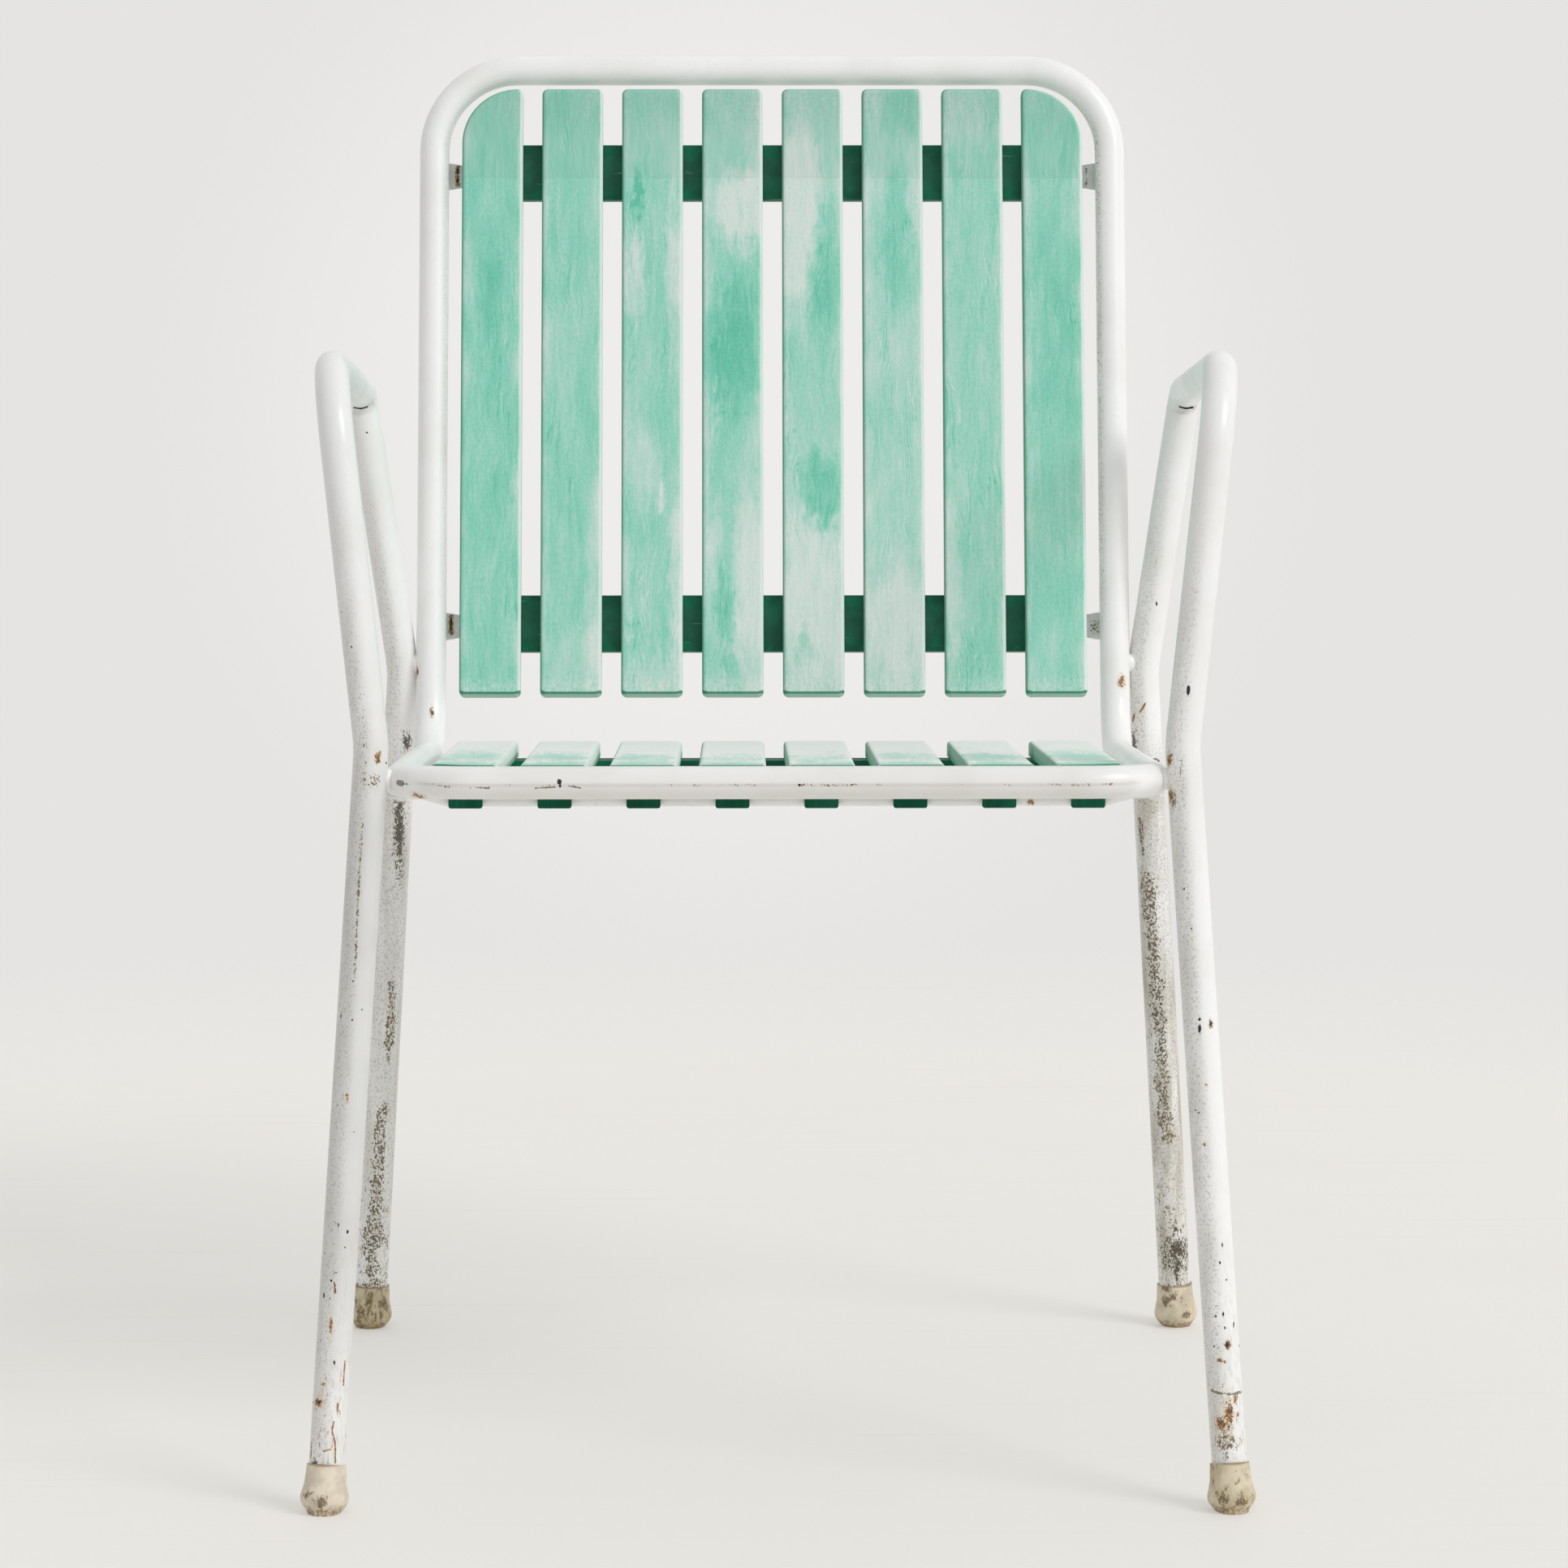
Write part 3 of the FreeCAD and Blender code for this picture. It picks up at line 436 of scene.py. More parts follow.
def make_paint(name, marks, streaks, wear):
    """White enamel with chips, rust and mould; wear gives the specks, three films of dirt and painted
    shade, and the rubs.
    """
    s = Shader("paint_" + name)
    x, y, z = s.split(s.place)
    fine = s.noise(s.place, scale=1100, detail=3, roughness=0.6)
    blot = s.noise(s.scaled(s.place, 520, 520, 400), detail=4, roughness=0.70)
    grit = s.noise(s.scaled(s.place, 760, 760, 600), detail=3, roughness=0.65)
    clump = s.noise(s.place, scale=130, detail=3, roughness=0.6)
    cloud = s.noise(s.place, scale=16, detail=4, roughness=0.55)
    drawn = s.noise(s.scaled(s.place, 620, 620, 85), detail=3, roughness=0.6)
    dashed = s.noise(s.scaled(s.place, 700, 700, 250), detail=2, roughness=0.5)
    rubbed = s.noise(s.scaled(s.vector("ADD", s.place, RUB_SHIFT), 640, 640, 120), detail=3, roughness=0.6)

    def closeness(distance, radius):
        return s.math("SUBTRACT", 1.0, s.math("MINIMUM", s.times(distance, 1 / radius), FARTHEST))

    def spot(kinds, growth=1.0):
        """How close a point is to the nearest mark or streak of these kinds."""
        found = []
        for kind, point, down, radius, stretch in marks:
            if kind in kinds:
                away = s.vector("SUBTRACT", s.place, point)
                along = s.vector("DOT_PRODUCT", away, down)
                squeezed = s.lengthened(down, s.times(along, 1 / stretch - 1))
                distance = s.vector("LENGTH", s.vector("ADD", away, squeezed))
                found.append(closeness(distance, radius * growth))
        for kind, first, last, radius in streaks:
            if kind in kinds:
                axis = last - first
                away = s.vector("SUBTRACT", s.place, first)
                along = s.vector("DOT_PRODUCT", away, axis / axis.length_squared)
                share = s.math("MINIMUM", s.math("MAXIMUM", along, 0.0), 1.0)
                distance = s.vector("DISTANCE", away, s.lengthened(axis, share))
                found.append(closeness(distance, radius * growth))
        return s.most(found) if found else NOWHERE

    speck_density, film, shade_and_dirt_coat, painted_shade, rubs = wear(s, x, y, z)
    low = s.fade(z, *LOW_HEIGHTS)
    colour = s.mix(s.fade(cloud, 0.42, 0.70, high=0.8), PAINT, PAINT_AGED)
    # Painted shade: a grey film over the front legs and arms, heaviest on the left
    colour = s.mix(s.times(painted_shade, s.math("MULTIPLY_ADD", cloud, 0.6, 0.7)), colour, PAINT_SHADE_GREY)
    streaky = s.times(s.fade(drawn, 0.45, 0.75), s.math("MULTIPLY_ADD", low, 0.50, 0.05))
    long_cloud = s.noise(s.scaled(s.place, 90, 90, 12), detail=3, roughness=0.55)
    # Films of dirt; the cloudy one also carries painted shade on the arms' left sides, the even coat
    # painted shade on the front rail
    cloudy_dirt_and_shade = s.times(film, s.fade(s.add(long_cloud, s.swing(fine, 0.25)), 0.25, 0.75))
    even = s.times(shade_and_dirt_coat, s.math("MULTIPLY_ADD", fine, 0.5, 0.75))
    colour = s.mix(s.most([streaky, cloudy_dirt_and_shade, even]), colour, PAINT_DIRT_AND_SHADE)
    colour = s.mix(s.fade(fine, 0.735, 0.775, high=0.45), colour, PAINT_DIRT_AND_SHADE)
    dusted = s.times(s.math("MINIMUM", film, 0.45), s.fade(grit, 0.52, 0.63))
    colour = s.mix(dusted, colour, DUST_SPECK)

    sprinkled = s.math("MAXIMUM", s.times(spot(("speckle",)), 1.5), 0.0)
    mouldy = s.fade(s.math("ADD", spot(("mould",)), s.swing(clump, 0.9)), 0.0, 0.7, high=1.20)
    density = s.add(speck_density, s.times(low, 0.34), s.swing(cloud, 0.30))
    density = s.add(s.times(density, s.fade(clump, 0.36, 0.60, low=0.25)), sprinkled, mouldy)
    edge = s.math("MULTIPLY_ADD", s.math("MINIMUM", density, 1.25), -0.24, 0.80)
    specks = s.fade(grit, edge, s.math("ADD", edge, 0.04), high=0.86)
    speck_tone = s.mix(s.fade(s.add(cloud, s.swing(clump, 0.2)), 0.44, 0.58), MOULD, SPECK_BROWN)
    round_specks = s.fade(grit, s.math("ADD", edge, -0.10), edge)
    halo = s.times(round_specks, s.fade(density, 0.30, 0.90, high=0.68))
    colour = s.mix(halo, colour, PAINT_DIRT_AND_SHADE)
    colour = s.mix(specks, colour, speck_tone)
    scrape_edge = s.math("MULTIPLY_ADD", low, -0.15, 0.82)
    scrapes = s.fade(drawn, scrape_edge, s.math("ADD", scrape_edge, 0.03), high=0.75)
    colour = s.mix(scrapes, colour, SPECK_BROWN)
    rub_edge = s.math("MULTIPLY_ADD", rubs, -0.36, 0.95)
    rub = s.fade(rubbed, rub_edge, s.math("ADD", rub_edge, 0.05), high=0.75)
    colour = s.mix(rub, colour, s.mix(s.fade(blot, 0.42, 0.56), RUST_STAIN, RUST))
    fleck_edge = s.math("MULTIPLY_ADD", low, -0.055, 0.80)
    flecks = s.fade(dashed, fleck_edge, s.math("ADD", fleck_edge, 0.02), high=0.85)
    colour = s.mix(flecks, colour, FLECK)

    ragged = s.add(s.swing(blot, 1.1), s.swing(fine, 0.8))
    fills = {}
    for fill, (kinds, growth, raggedness, start, end, most) in WEAR_FILLS.items():
        reach = s.math("ADD", spot(kinds, growth), s.times(ragged, raggedness))
        fills[fill] = s.fade(reach, start, end, high=most)
    rust_tone = s.mix(s.fade(blot, 0.44, 0.60), RUST, RUST_DARK)
    grime_tone = s.mix(s.fade(fine, 0.48, 0.66), MOULD, SPECK_BROWN)
    colour = s.mix(fills["stain"], colour, RUST_STAIN)
    colour = s.mix(fills["scuff"], colour, SCUFF)
    colour = s.mix(s.most([fills["grime"], fills["dirt"]]), colour, grime_tone)
    rusty = s.most([fills["rust"], fills["line"]])
    colour = s.mix(rusty, colour, rust_tone)
    bare = s.most([fills["chip"], fills["slit"]])
    colour = s.mix(bare, colour, CHIP)

    dull = s.most([rusty, bare, fills["grime"], specks])
    roughness = s.add(s.math("MULTIPLY_ADD", cloud, 0.20, 0.20), s.times(dull, 0.42))
    peel = s.noise(s.place, scale=160, detail=2, roughness=0.5)
    height = s.add(s.times(peel, 0.30), s.times(fills["rust"], fine, 1.4), s.times(bare, -0.9),
                   s.times(specks, 0.25))
    return s.finish(colour, roughness, s.bump(height, PAINT_RELIEF, 0.5))


# Where the wear and the painted shade of the frame and the legs start and are full, in metres
LEFT_TO_RIGHT = (-0.1, 0.1)
UPRIGHT_HEIGHTS = (0.46, 0.52)
REAR_LEG_PLACES = (0.05, 0.12)
MOULD_HEIGHTS = (0.46, 0.40)
MOULD_FOOT_HEIGHTS = (0.16, 0.06)
MOULD_LINE_HEIGHTS = (0.60, 0.50)
ARM_DUST_HEIGHTS = (0.70, 0.46)
ARM_DUST_END_HEIGHTS = (0.38, 0.46)
ARM_SHADE_HEIGHTS = (0.66, 0.44)
LEFT_LEG_SHADOW_TOP_HEIGHTS = (0.47, 0.40)
LEFT_LEG_SHADOW_FOOT_HEIGHTS = (0.04, 0.18)
YELLOWED_HEIGHTS = (0.42, 0.36)
RUBBED_HEIGHTS = (0.19, 0.06)


def frame_wear(s, x, y, z):
    """Dust on the inner sides of the uprights, a scuffed line along the front rail, and a film of painted
    shade on the rail, heavier below its middle.
    """
    inward = s.times(s.split(s.normal)[0], s.math("SIGN", x), -1.0)
    right = s.fade(x, *LEFT_TO_RIGHT, low=0.30, high=0.80)
    dust = s.times(s.fade(z, *UPRIGHT_HEIGHTS), s.fade(inward, 0.45, 0.95), right)
    front = s.fade(y, front_rail_y + 4 * MM, front_rail_y - 3 * MM)
    line = s.band(z, FRONT_RAIL_HEIGHT - 1.2 * MM, FRONT_RAIL_HEIGHT + 0.8 * MM, 0.8 * MM)
    broken = s.fade(s.noise(s.scaled(s.place, 30, 30, 90), detail=3), 0.36, 0.56)
    # Painted shade: the front rail a little darker all over and more below its middle
    underside_shade = s.fade(z, FRONT_RAIL_HEIGHT + 3 * MM, FRONT_RAIL_HEIGHT - 3 * MM, low=0.10, high=0.20)
    density = s.add(s.times(front, line, broken, 1.15), s.times(dust, 0.95))
    # The coat: painted shade on the front rail, with a little of the scuffed line's dirt
    shade_and_dirt_coat = s.times(front, s.add(underside_shade, s.times(line, 0.22)))
    return density, s.times(dust, 0.58), shade_and_dirt_coat, 0.0, 0.0


def leg_wear(s, x, y, z):
    """Mould on the rear legs and in a thin line down the front legs, dusty arms, a yellowed film on the
    rear legs, and painted shade: a film on the arms' left-facing sides and a grey film on the front legs
    and arms, heaviest on the left.
    """
    facing = s.split(s.normal)
    inward = s.times(facing[0], s.math("SIGN", x), -1.0)
    rear = s.fade(y, *REAR_LEG_PLACES)
    shaded = s.fade(s.add(s.times(inward, 0.55), s.times(facing[1], -0.75)), 0.35, 0.95)
    patch = s.fade(s.noise(s.scaled(s.place, 34, 34, 11), detail=3), 0.34, 0.60)
    foot = s.times(s.fade(z, *MOULD_FOOT_HEIGHTS, high=0.85), s.fade(facing[1], 0.3, -0.5))
    on_rear = s.times(rear, s.fade(z, *MOULD_HEIGHTS), s.most([s.times(shaded, patch, 0.75), foot]))
    ahead = s.math("SUBTRACT", 1.0, rear)
    front = s.times(ahead, s.fade(facing[1], -0.4, -0.8))
    beside = s.fade(s.math("ABSOLUTE", s.math("ADD", facing[0], 0.25)), 0.22, 0.03)
    on_front = s.times(front, beside, patch, s.fade(z, *MOULD_LINE_HEIGHTS), 0.75)
    away = s.fade(facing[0], 0.30, -0.35)
    dusty = s.times(away, s.fade(z, *ARM_DUST_HEIGHTS), s.fade(z, *ARM_DUST_END_HEIGHTS))
    # Painted shade: a film on the arms' left-facing sides
    cloudy_dirt_and_shade = s.times(away, s.fade(z, *ARM_SHADE_HEIGHTS), 0.34)
    left = s.fade(x, *reversed(LEFT_TO_RIGHT))
    # Painted shadow: the left front leg greyer below the seat, where a shadow falls
    left_leg_shadow = s.times(left, s.fade(z, *LEFT_LEG_SHADOW_TOP_HEIGHTS), s.fade(z, *LEFT_LEG_SHADOW_FOOT_HEIGHTS), 0.26)
    # Painted shade: grey over the front legs and arms, more on the left
    painted_shade = s.times(ahead, s.add(s.times(left, 0.12), left_leg_shadow, 0.05))
    yellow_share = s.fade(x, *LEFT_TO_RIGHT, low=0.40, high=0.90)
    yellowed = s.times(rear, s.fade(z, *YELLOWED_HEIGHTS), yellow_share)
    rubs = s.times(front, left, s.fade(z, *RUBBED_HEIGHTS))
    density = s.add(on_rear, on_front, s.times(dusty, 0.42))
    return density, s.most([cloudy_dirt_and_shade, yellowed]), 0.0, painted_shade, rubs


def cross_wear(s, x, y, z):
    """A few specks in patches."""
    return s.times(s.fade(s.noise(s.place, scale=30, detail=3), 0.45, 0.7), 0.3), 0.05, 0.0, 0.0, 0.0


# Each wear gives the density of specks, the cloudy film of dirt and painted shade, the even coat of dirt
# and painted shade, the grey film of painted shade and the rubs
WEARS = {"seat_back_frame": frame_wear, "left_side_tube": leg_wear, "right_side_tube": leg_wear}
for node_name in PAINT_NODES:
    wear = WEARS.get(node_name, cross_wear)
    paint = make_paint(node_name, marks_on[node_name], streaks_on[node_name], wear)
    nodes[node_name].material_slots[0].material = paint

# Plastic of the slats, from dark green where it was covered to nearly white where the sun took the colour
COVERED = srgb(0, 84, 60)
COVERED_WORN = srgb(18, 106, 78)
# Less bleached green where partly covered, also the painted shade of the slats' left-facing sides
HALF_COVERED_AND_SHADED = srgb(76, 150, 122)
# Painted sunlight on the slats' right-facing sides and right edges, partly bleaching
SIDE_SUNLIT_PALE = srgb(224, 236, 230)
DEEP_MINT = srgb(104, 197, 169)
MINT = srgb(147, 215, 194)
PALE_MINT = srgb(188, 223, 212)
BLEACHED = srgb(222, 232, 227)
SEAT_BLEACHED = srgb(242, 243, 240)
# Painted shade along the slats' lower rims
RIM_SHADE_GREEN = srgb(44, 136, 102)
END_FACE = srgb(156, 196, 178)
DIRT = srgb(112, 128, 116)
SCRATCH = srgb(226, 234, 229)

# Patches that faded more or less: slat, mm across it and along it, half width, half length, change
BACK_PATCHES = [
    (1, 0, 263, 9, 62, -0.22),
    (2, -6, 240, 12, 60, 0.12),
    (2, 16, 75, 7, 70, 0.28),
    (2, 0, 26, 22, 26, 0.20),
    (3, -10, 341, 3.2, 24, -0.50),
    (3, -10, 313, 4.5, 20, 0.34),
    (3, 15, 303, 7, 62, 0.26),
    (3, -11, 284, 8, 26, 0.24),
    (3, -7, 158, 12, 36, 0.30),
    (3, 6, 138, 3.6, 10, 0.45),
    (3, 17, 85, 6, 66, 0.32),
    (3, 0, 14, 22, 18, 0.26),
    (4, 6, 338, 20, 27, 0.58),
    (4, 17, 395, 8, 40, 0.25),
    (4, 1, 240, 19, 54, -0.42),
    (4, 13, 72, 13, 76, 0.52),
    (4, -15, 108, 9, 30, 0.25),
    (4, -5, 60, 7, 22, -0.32),
    (4, -2, 22, 9, 10, -0.22),
    (5, -9, 334, 15, 66, 0.62),
    (5, 7, 286, 12, 50, -0.36),
    (5, 5, 141, 16, 25, -0.42),
    (5, 0, 66, 26, 66, 0.50),
    (5, -6, 33, 8, 14, -0.45),
    (6, 3, 409, 14, 22, -0.22),
    (6, 3, 317, 9, 64, -0.32),
    (6, 0, 46, 24, 48, 0.36),
    (6, 10, 36, 4, 12, -0.22),
    (7, -4, 400, 18, 22, 0.16),
    (7, -16, 80, 6, 60, 0.22),
    # This patch darkens slat 8 along its middle: painted shade
    (8, 4, 250, 16, 90, -0.12),
]
SEAT_PATCHES = [
    (1, 5, 158, 30, 84, -0.24),
    (1, -12, 60, 14, 60, -0.12),
    (2, 4, 118, 30, 72, -0.28),
    (2, 9, 240, 12, 70, -0.10),
    (3, 3, 106, 34, 62, -0.24),
    (3, -13, 196, 9, 60, -0.14),
    (4, 2, 116, 32, 70, -0.19),
    (5, -2, 100, 34, 74, -0.18),
    (5, 12, 205, 10, 66, -0.12),
    (6, -3, 122, 32, 78, -0.22),
    (7, -4, 110, 30, 68, -0.27),
    (7, -11, 225, 11, 76, -0.14),
    (8, -4, 150, 30, 86, -0.24),
    (8, 12, 70, 14, 64, -0.13),
]
BACK_FADE = (0.38, 0.41, 0.45, 0.48, 0.52, 0.58, 0.46, 0.42)
SEAT_FADE = (1.11, 1.14, 1.17, 1.19, 1.19, 1.17, 1.14, 1.11)
SLAT_SEED_STEP = 37.0
PLASTIC_SHEEN = 0.14
SLAT_RELIEF = 0.25 * MM
# Places on a slat in mm: the sink line from its far end, the pale strip along its right edge (partly
# bleaching, partly painted sunlight), the dirt at its far and near ends, and the depths below its face
# where it is sheltered and where it is hidden
SINK_INSET = 63.0
PALE_EDGE = 2.4
FAR_END_DIRT = (75, 5)
NEAR_END_WEAR = (16, 3)
SHELTERED_DEPTHS = (-4.5, -8.5)
HIDDEN_DEPTHS = (-9.4, -10.4)


def panel(prefix, tilt):
    """Direction along the slats and out of their face, with the slats' start, end and face."""
    along = Vector((0, math.cos(tilt), math.sin(tilt)))
    out = Vector((0, -math.sin(tilt), math.cos(tilt)))
    corners = [v.co for i in range(1, SLATS + 1) for v in nodes[f"{prefix}_slat_{i}"].data.vertices]
    steps = [along.dot(c) for c in corners]
    return along, out, min(steps), max(steps), max(out.dot(c) for c in corners)


slat_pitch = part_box("back_slat_2")[0].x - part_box("back_slat_1")[0].x
slat_half = (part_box("back_slat_4")[1].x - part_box("back_slat_4")[0].x) / 2


def make_slats(prefix, tilt, levels, patches, bleached, most, front_reach, front_green, dust, seed):
    """Grained plastic that faded slat by slat and, near the front, less."""
    along_axis, out_axis, start, end, face = panel(prefix, tilt)
    length = (end - start) / MM
    half = slat_half / MM
    s = Shader(prefix + "_slat_plastic")
    x = s.split(s.place)[0]
    row = s.math("MULTIPLY_ADD", x, 1 / slat_pitch, SLATS / 2)
    index = s.math("FLOOR", row)
    centre = s.math("MULTIPLY_ADD", index, slat_pitch, -slat_pitch * (SLATS - 1) / 2)
    u = s.times(s.math("SUBTRACT", x, centre), 1 / MM)
    t = s.math("MULTIPLY_ADD", s.vector("DOT_PRODUCT", s.place, along_axis), 1 / MM, -start / MM)
    depth = s.math("MULTIPLY_ADD", s.vector("DOT_PRODUCT", s.place, out_axis), 1 / MM, -face / MM)
    facing = s.vector("DOT_PRODUCT", s.normal, out_axis)
    lengthways = s.vector("DOT_PRODUCT", s.normal, along_axis)
    own = s.math("MULTIPLY_ADD", index, SLAT_SEED_STEP, seed)
    grain = s.combine(u, t, own)

    wander = s.noise(s.combine(s.times(u, 0.02), s.times(t, 0.022), own), detail=3, roughness=0.6)
    bent = s.vector("ADD", grain, s.combine(s.swing(wander, 7.0), 0.0, 0.0))
    fibre = s.noise(s.scaled(bent, 1.15, 0.060, 1), detail=4, roughness=0.62, distortion=0.5)
    stroke = s.noise(s.scaled(bent, 0.40, 0.026, 1), detail=3, roughness=0.6, distortion=1.0)
    mottle = s.noise(s.scaled(grain, 0.55, 0.36, 1), detail=4, roughness=0.68)
    blotch = s.noise(s.scaled(grain, 0.060, 0.019, 1), detail=3, roughness=0.55)
    field = s.noise(s.scaled(bent, 0.085, 0.0085, 1), detail=1, roughness=0.4, distortion=0.4)
    wave = s.math("SINE", s.times(field, 95))
    figured = s.fade(s.noise(s.scaled(grain, 0.05, 0.012, 5), detail=2), 0.50, 0.66)
    pale_rings = s.times(s.fade(wave, 0.70, 0.97), figured, s.fade(stroke, 0.35, 0.60))
    deep_rings = s.times(s.fade(wave, -0.70, -0.97), figured, s.fade(stroke, 0.65, 0.40))

    wobble = s.noise(s.scaled(grain, 0.15, 0.07, 1), detail=4, roughness=0.65, output="Color")
    wobble = s.vector("MULTIPLY_ADD", wobble, (18, 60, 0), (-9, -30, 0))
    spot = s.vector("ADD", s.combine(s.times(x, 1 / MM), t, 0), wobble)
    change = 0.0
    for slat, across, up, half_width, half_length, amount in patches:
        middle = (slat - (SLATS + 1) / 2) * slat_pitch / MM + across
        scale = (1 / half_width, 1 / half_length, 0)
        offset = (-middle / half_width, -up / half_length, 0)
        distance = s.vector("LENGTH", s.vector("MULTIPLY_ADD", spot, scale, offset))
        change = s.math("ADD", s.fade(distance, 1.4, 0.3, high=amount), change)

    side = s.math("ABSOLUTE", u)
    edge = s.times(s.fade(side, 12, half - 2.0), s.fade(blotch, 0.35, 0.65))
    near_end = s.times(s.fade(t, *NEAR_END_WEAR), s.fade(mottle, 0.3, 0.6))
    level = s.by_slat(s.times(row, 1 / SLATS), levels)
    at_front = s.times(s.fade(t, front_reach, 0), front_green)
    wavy = s.add(t, s.swing(wander, 60.0))
    behind_front = s.times(s.fade(wavy, 3.6 * front_reach, 1.4 * front_reach), front_green / 2)
    broad = s.add(level, change, s.swing(blotch, 0.30), s.times(edge, 0.20), s.times(near_end, 0.22),
                  at_front, behind_front)
    broad = s.math("MINIMUM", broad, most)
    bleach = s.add(broad, s.swing(stroke, 0.24), s.swing(fibre, 0.16), s.swing(mottle, 0.30),
                   s.times(pale_rings, 0.22), s.times(deep_rings, -0.26))
    colour = s.ramp(bleach, [(0.0, DEEP_MINT), (0.38, MINT), (0.68, PALE_MINT), (1.0, bleached)])

    slanted = s.vector("ADD", grain, s.combine(s.times(t, 0.35), 0.0, 31.0))
    scratch = s.noise(s.scaled(slanted, 1.1, 0.022, 1), detail=1, roughness=0.3, distortion=0.2)
    scratch = s.times(s.fade(scratch, 0.76, 0.80), s.fade(blotch, 0.42, 0.6), 0.6)
    colour = s.mix(scratch, colour, SCRATCH)
    specks = s.noise(s.scaled(grain, 0.9, 0.7, 1), detail=2, roughness=0.5)
    colour = s.mix(s.fade(specks, 0.74, 0.79, high=0.55), colour, DIRT)
    far_start, far_full = (length - inset for inset in FAR_END_DIRT)
    far_end = s.times(s.fade(t, far_start, far_full), s.fade(mottle, 0.30, 0.62), dust)
    sink_start = length - SINK_INSET
    sink = s.times(s.band(t, sink_start, sink_start + 1.0, 0.5), s.fade(stroke, 0.3, 0.6), 0.22)
    above = s.times(s.fade(t, sink_start - 1.0, sink_start + 1.0), s.fade(mottle, 0.2, 0.7), dust / 2)
    colour = s.mix(s.most([far_end, sink, above]), colour, DIRT)

    # Painted light and shade: the slats' sides pale where they face right, towards the light, darker green
    # where they face left
    sunlit_and_shaded_side = s.mix(s.fade(s.split(s.normal)[0], -0.2, 0.2), HALF_COVERED_AND_SHADED, SIDE_SUNLIT_PALE)
    colour = s.mix(s.fade(facing, 0.94, 0.55, high=0.80), colour, sunlit_and_shaded_side)
    # Painted sunlight along each face's right edge, partly bleaching
    right_edge = s.times(s.fade(u, half - PALE_EDGE, half - PALE_EDGE / 2), s.fade(facing, 0.0, 0.3))
    bleached_and_sunlit_edge = s.times(right_edge, s.fade(blotch, 0.25, 0.55, low=0.50, high=0.90))
    colour = s.mix(bleached_and_sunlit_edge, colour, SIDE_SUNLIT_PALE)
    sheltered = s.times(s.fade(facing, 0.5, 0.1), s.fade(depth, *SHELTERED_DEPTHS), 0.8)
    colour = s.mix(sheltered, colour, HALF_COVERED_AND_SHADED)
    end_face = s.fade(s.math("ABSOLUTE", lengthways), 0.62, 0.80)
    colour = s.mix(s.times(end_face, 0.9), colour, END_FACE)
    # Painted shade: a dark green line along each slat's lower rounded rim
    downwards = s.times(lengthways, -1.0)
    shaded_lower_rim = s.times(s.band(downwards, 0.16, 0.66, 0.08), s.fade(mottle, 0.28, 0.42, low=0.55))
    colour = s.mix(s.times(shaded_lower_rim, 0.92), colour, RIM_SHADE_GREEN)
    hidden = s.most([s.fade(facing, -0.15, -0.55), s.fade(depth, *HIDDEN_DEPTHS)])
    covered = s.mix(s.fade(blotch, 0.36, 0.66), COVERED, COVERED_WORN)
    covered = s.mix(s.fade(s.add(mottle, s.swing(stroke, 0.2)), 0.50, 0.80, high=0.14), covered, DIRT)
    colour = s.mix(hidden, colour, covered)

    roughness = s.add(0.44, s.swing(stroke, 0.10), s.times(s.fade(bleach, 0.4, 1.0), 0.16))
    height = s.add(s.times(fibre, 0.5), s.times(stroke, 0.6), s.times(pale_rings, 0.35),
                   s.times(deep_rings, -0.35), s.times(scratch, -0.8), s.times(mottle, 0.3))
    s.surface.inputs["Specular IOR Level"].default_value = PLASTIC_SHEEN
    return s.finish(colour, roughness, s.bump(height, SLAT_RELIEF, 0.6))


BACK_TILT = math.pi / 2 - BACK_RECLINE
SLAT_LOOKS = {
    "back": make_slats("back", BACK_TILT, BACK_FADE, BACK_PATCHES, bleached=BLEACHED, most=0.93,
                       front_reach=1.0, front_green=0.0, dust=0.30, seed=3.0),
    "seat": make_slats("seat", -SEAT_TILT, SEAT_FADE, SEAT_PATCHES, bleached=SEAT_BLEACHED, most=1.15,
                       front_reach=60.0, front_green=-0.40, dust=0.03, seed=411.0),
}
for prefix, look in SLAT_LOOKS.items():
    for number in range(1, SLATS + 1):
        nodes[f"{prefix}_slat_{number}"].material_slots[0].material = look

# Rails behind the slats, with a grey film along the middle
RAIL_GREEN = srgb(12, 110, 80)
RAIL_DARK = srgb(4, 80, 58)
RAIL_FILM = srgb(52, 98, 82)
RAIL_RELIEF = 0.15 * MM
RAIL_SEED_STEP = 3.7


